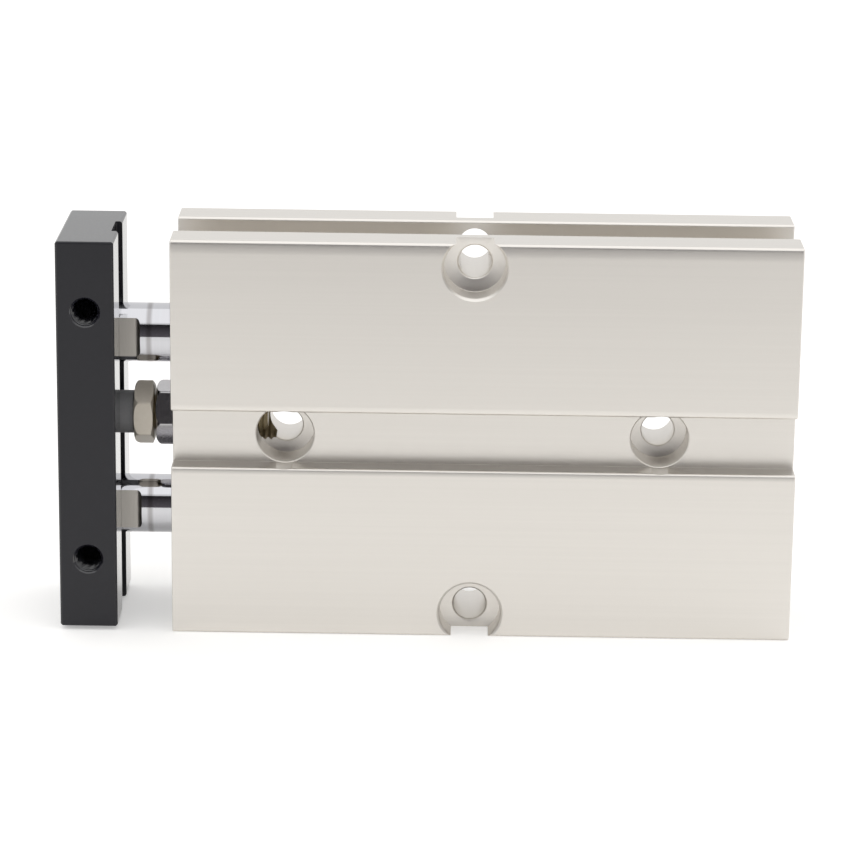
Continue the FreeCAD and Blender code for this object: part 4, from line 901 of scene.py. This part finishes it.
studio = {
    "floor": 3.0, "floorLevel": -2e-5, "floorTone": "#F1F0EE", "whiteFloor": 0.35, "dome": 0.85,
    "mirroredFloor": {"near": (0.06, 0.2), "far": (0.19, 0.09)},
    "topBox": {"place": (0, -0.15, 0.9), "aim": (0, -0.15, 0), "sides": (1.6, 1.15), "radiance": 0.25},
    "darkRoom": {"places": [(0, -0.4, 0.2)], "aim": (0, 0, 0.2), "sides": (0.28, 0.4),
                 "low": 0.11, "high": 0.025, "evenFrom": 0.6, "tint": "#FBF2FC"},
    "dimEnds": {"places": [(0.46, 0, 0.2), (-0.46, 0, 0.2)], "aim": (0, 0, 0.2), "sides": (0.28, 0.4),
                "low": 0.5, "high": 0.4, "evenFrom": 0.6, "tint": "#FBF9FC"},
}


def facing(place, aim):
    # A turn that points an object's own -Z from its place to the aim, with its X level; where it looks
    # straight down, its X is the scene's.
    back = np.array(place, float) - np.array(aim, float)
    back /= np.linalg.norm(back)
    side = np.cross((0, 0, 1), back) if abs(back[2]) < 0.99 else np.array([1.0, 0, 0])
    side /= np.linalg.norm(side)
    turn = np.eye(4)
    turn[:3] = np.column_stack([side, np.cross(back, side), back, place])
    return Matrix(turn.tolist())


def makeLamp(name, s):
    # A rectangular soft box; its energy is four times its radiance times its area.
    data = bpy.data.lights.new(name, "AREA")
    data.shape = "RECTANGLE"
    data.size, data.size_y = s["sides"]
    data.energy = 4 * s["radiance"] * s["sides"][0] * s["sides"][1]
    lamp = bpy.data.objects.new(name, data)
    lamp.matrix_world = facing(s["place"], s["aim"])
    bpy.context.scene.collection.objects.link(lamp)


def newSheet(name, wide, tall, level=0.0):
    # A flat rectangle about the origin, from its half sides.
    corner = [[-wide, -tall, level], [wide, -tall, level], [wide, tall, level], [-wide, tall, level]]
    return newObject(name, np.array(corner) / mm, [[0, 1, 2, 3]])


def makeCards(name, s):
    # Dark or dim parts of the room, which only reflections show; they fade from low to high.
    wide, tall = np.array(s["sides"]) / 2
    material = bpy.data.materials.new(name)
    tree = emptyTree(material)
    place = addNode(tree, "ShaderNodeTexCoord").outputs["Object"]
    height = addNode(tree, "ShaderNodeSeparateXYZ", {"Vector": place}).outputs["Y"]
    fade = addNode(tree, "ShaderNodeMapRange", {"Value": height},
                   {"From Min": -tall, "From Max": tall * s["evenFrom"],
                    "To Min": s["low"], "To Max": s["high"]})
    dull = addNode(tree, "ShaderNodeEmission", {"Strength": fade.outputs["Result"]},
                   {"Color": linear(s["tint"])})
    addNode(tree, "ShaderNodeOutputMaterial", {"Surface": dull.outputs[0]})
    for side, spot in enumerate(s["places"]):
        card = newSheet(f"{name}{side}", wide, tall)
        card.matrix_world = facing(spot, s["aim"])
        card.data.materials.append(material)
        for key in ("visible_camera", "visible_diffuse", "visible_shadow", "visible_transmission"):
            setattr(card, key, False)


def whiteToCamera(tree):
    # 1 for what the camera sees directly or through a clear piece, else 0.
    path = addNode(tree, "ShaderNodeLightPath").outputs
    return addNode(tree, "ShaderNodeMath", {0: path["Is Camera Ray"], 1: path["Is Transmission Ray"]},
                   operation="MAXIMUM").outputs[0]


def makeFloor(s):
    # Pale paper that takes the shadow, a hair below the part. To the camera it is lifted to white, and in
    # reflections less: about half as much under the part, and a quarter further off.
    floor = newSheet("floor", s["floor"], s["floor"], s["floorLevel"])
    material = bpy.data.materials.new("paperFloor")
    tree = emptyTree(material)
    mirrored = addNode(tree, "ShaderNodeLightPath").outputs["Is Glossy Ray"]
    place = addNode(tree, "ShaderNodeTexCoord").outputs["Object"]
    away = addNode(tree, "ShaderNodeVectorMath", {0: place}, operation="LENGTH").outputs["Value"]
    near, far = s["mirroredFloor"]["near"], s["mirroredFloor"]["far"]
    fall = addNode(tree, "ShaderNodeMapRange", {"Value": away},
                   {"From Min": near[0], "From Max": far[0], "To Min": near[1], "To Max": far[1]})
    low = addNode(tree, "ShaderNodeMath", {0: mirrored, 1: fall.outputs["Result"]}, operation="MULTIPLY")
    lift = addNode(tree, "ShaderNodeMath", {0: whiteToCamera(tree), 2: low.outputs[0]}, {1: s["whiteFloor"]},
                   operation="MULTIPLY_ADD")
    paper = addNode(tree, "ShaderNodeBsdfDiffuse", sockets={"Color": linear(s["floorTone"])})
    light = addNode(tree, "ShaderNodeEmission", {"Strength": lift.outputs[0]}, {"Color": (1, 1, 1, 1)})
    both = addNode(tree, "ShaderNodeAddShader", {0: paper.outputs[0], 1: light.outputs[0]})
    addNode(tree, "ShaderNodeOutputMaterial", {"Surface": both.outputs[0]})
    floor.data.materials.append(material)


def makeDome(s):
    # An even grey dome of light that the camera sees as white.
    world = bpy.data.worlds.new("studioDome")
    bpy.context.scene.world = world
    tree = emptyTree(world)
    level = addNode(tree, "ShaderNodeMapRange", {"Value": whiteToCamera(tree)},
                    {"To Min": s["dome"], "To Max": 1.0})
    sky = addNode(tree, "ShaderNodeBackground", {"Strength": level.outputs["Result"]},
                  {"Color": (1, 1, 1, 1)})
    addNode(tree, "ShaderNodeOutputWorld", {"Surface": sky.outputs[0]})


makeFloor(studio)
makeDome(studio)
makeLamp("topBox", studio["topBox"])
for name in ("darkRoom", "dimEnds"):
    makeCards(name, studio[name])
bpy.context.scene.view_settings.view_transform = "Standard"
print("studio made")
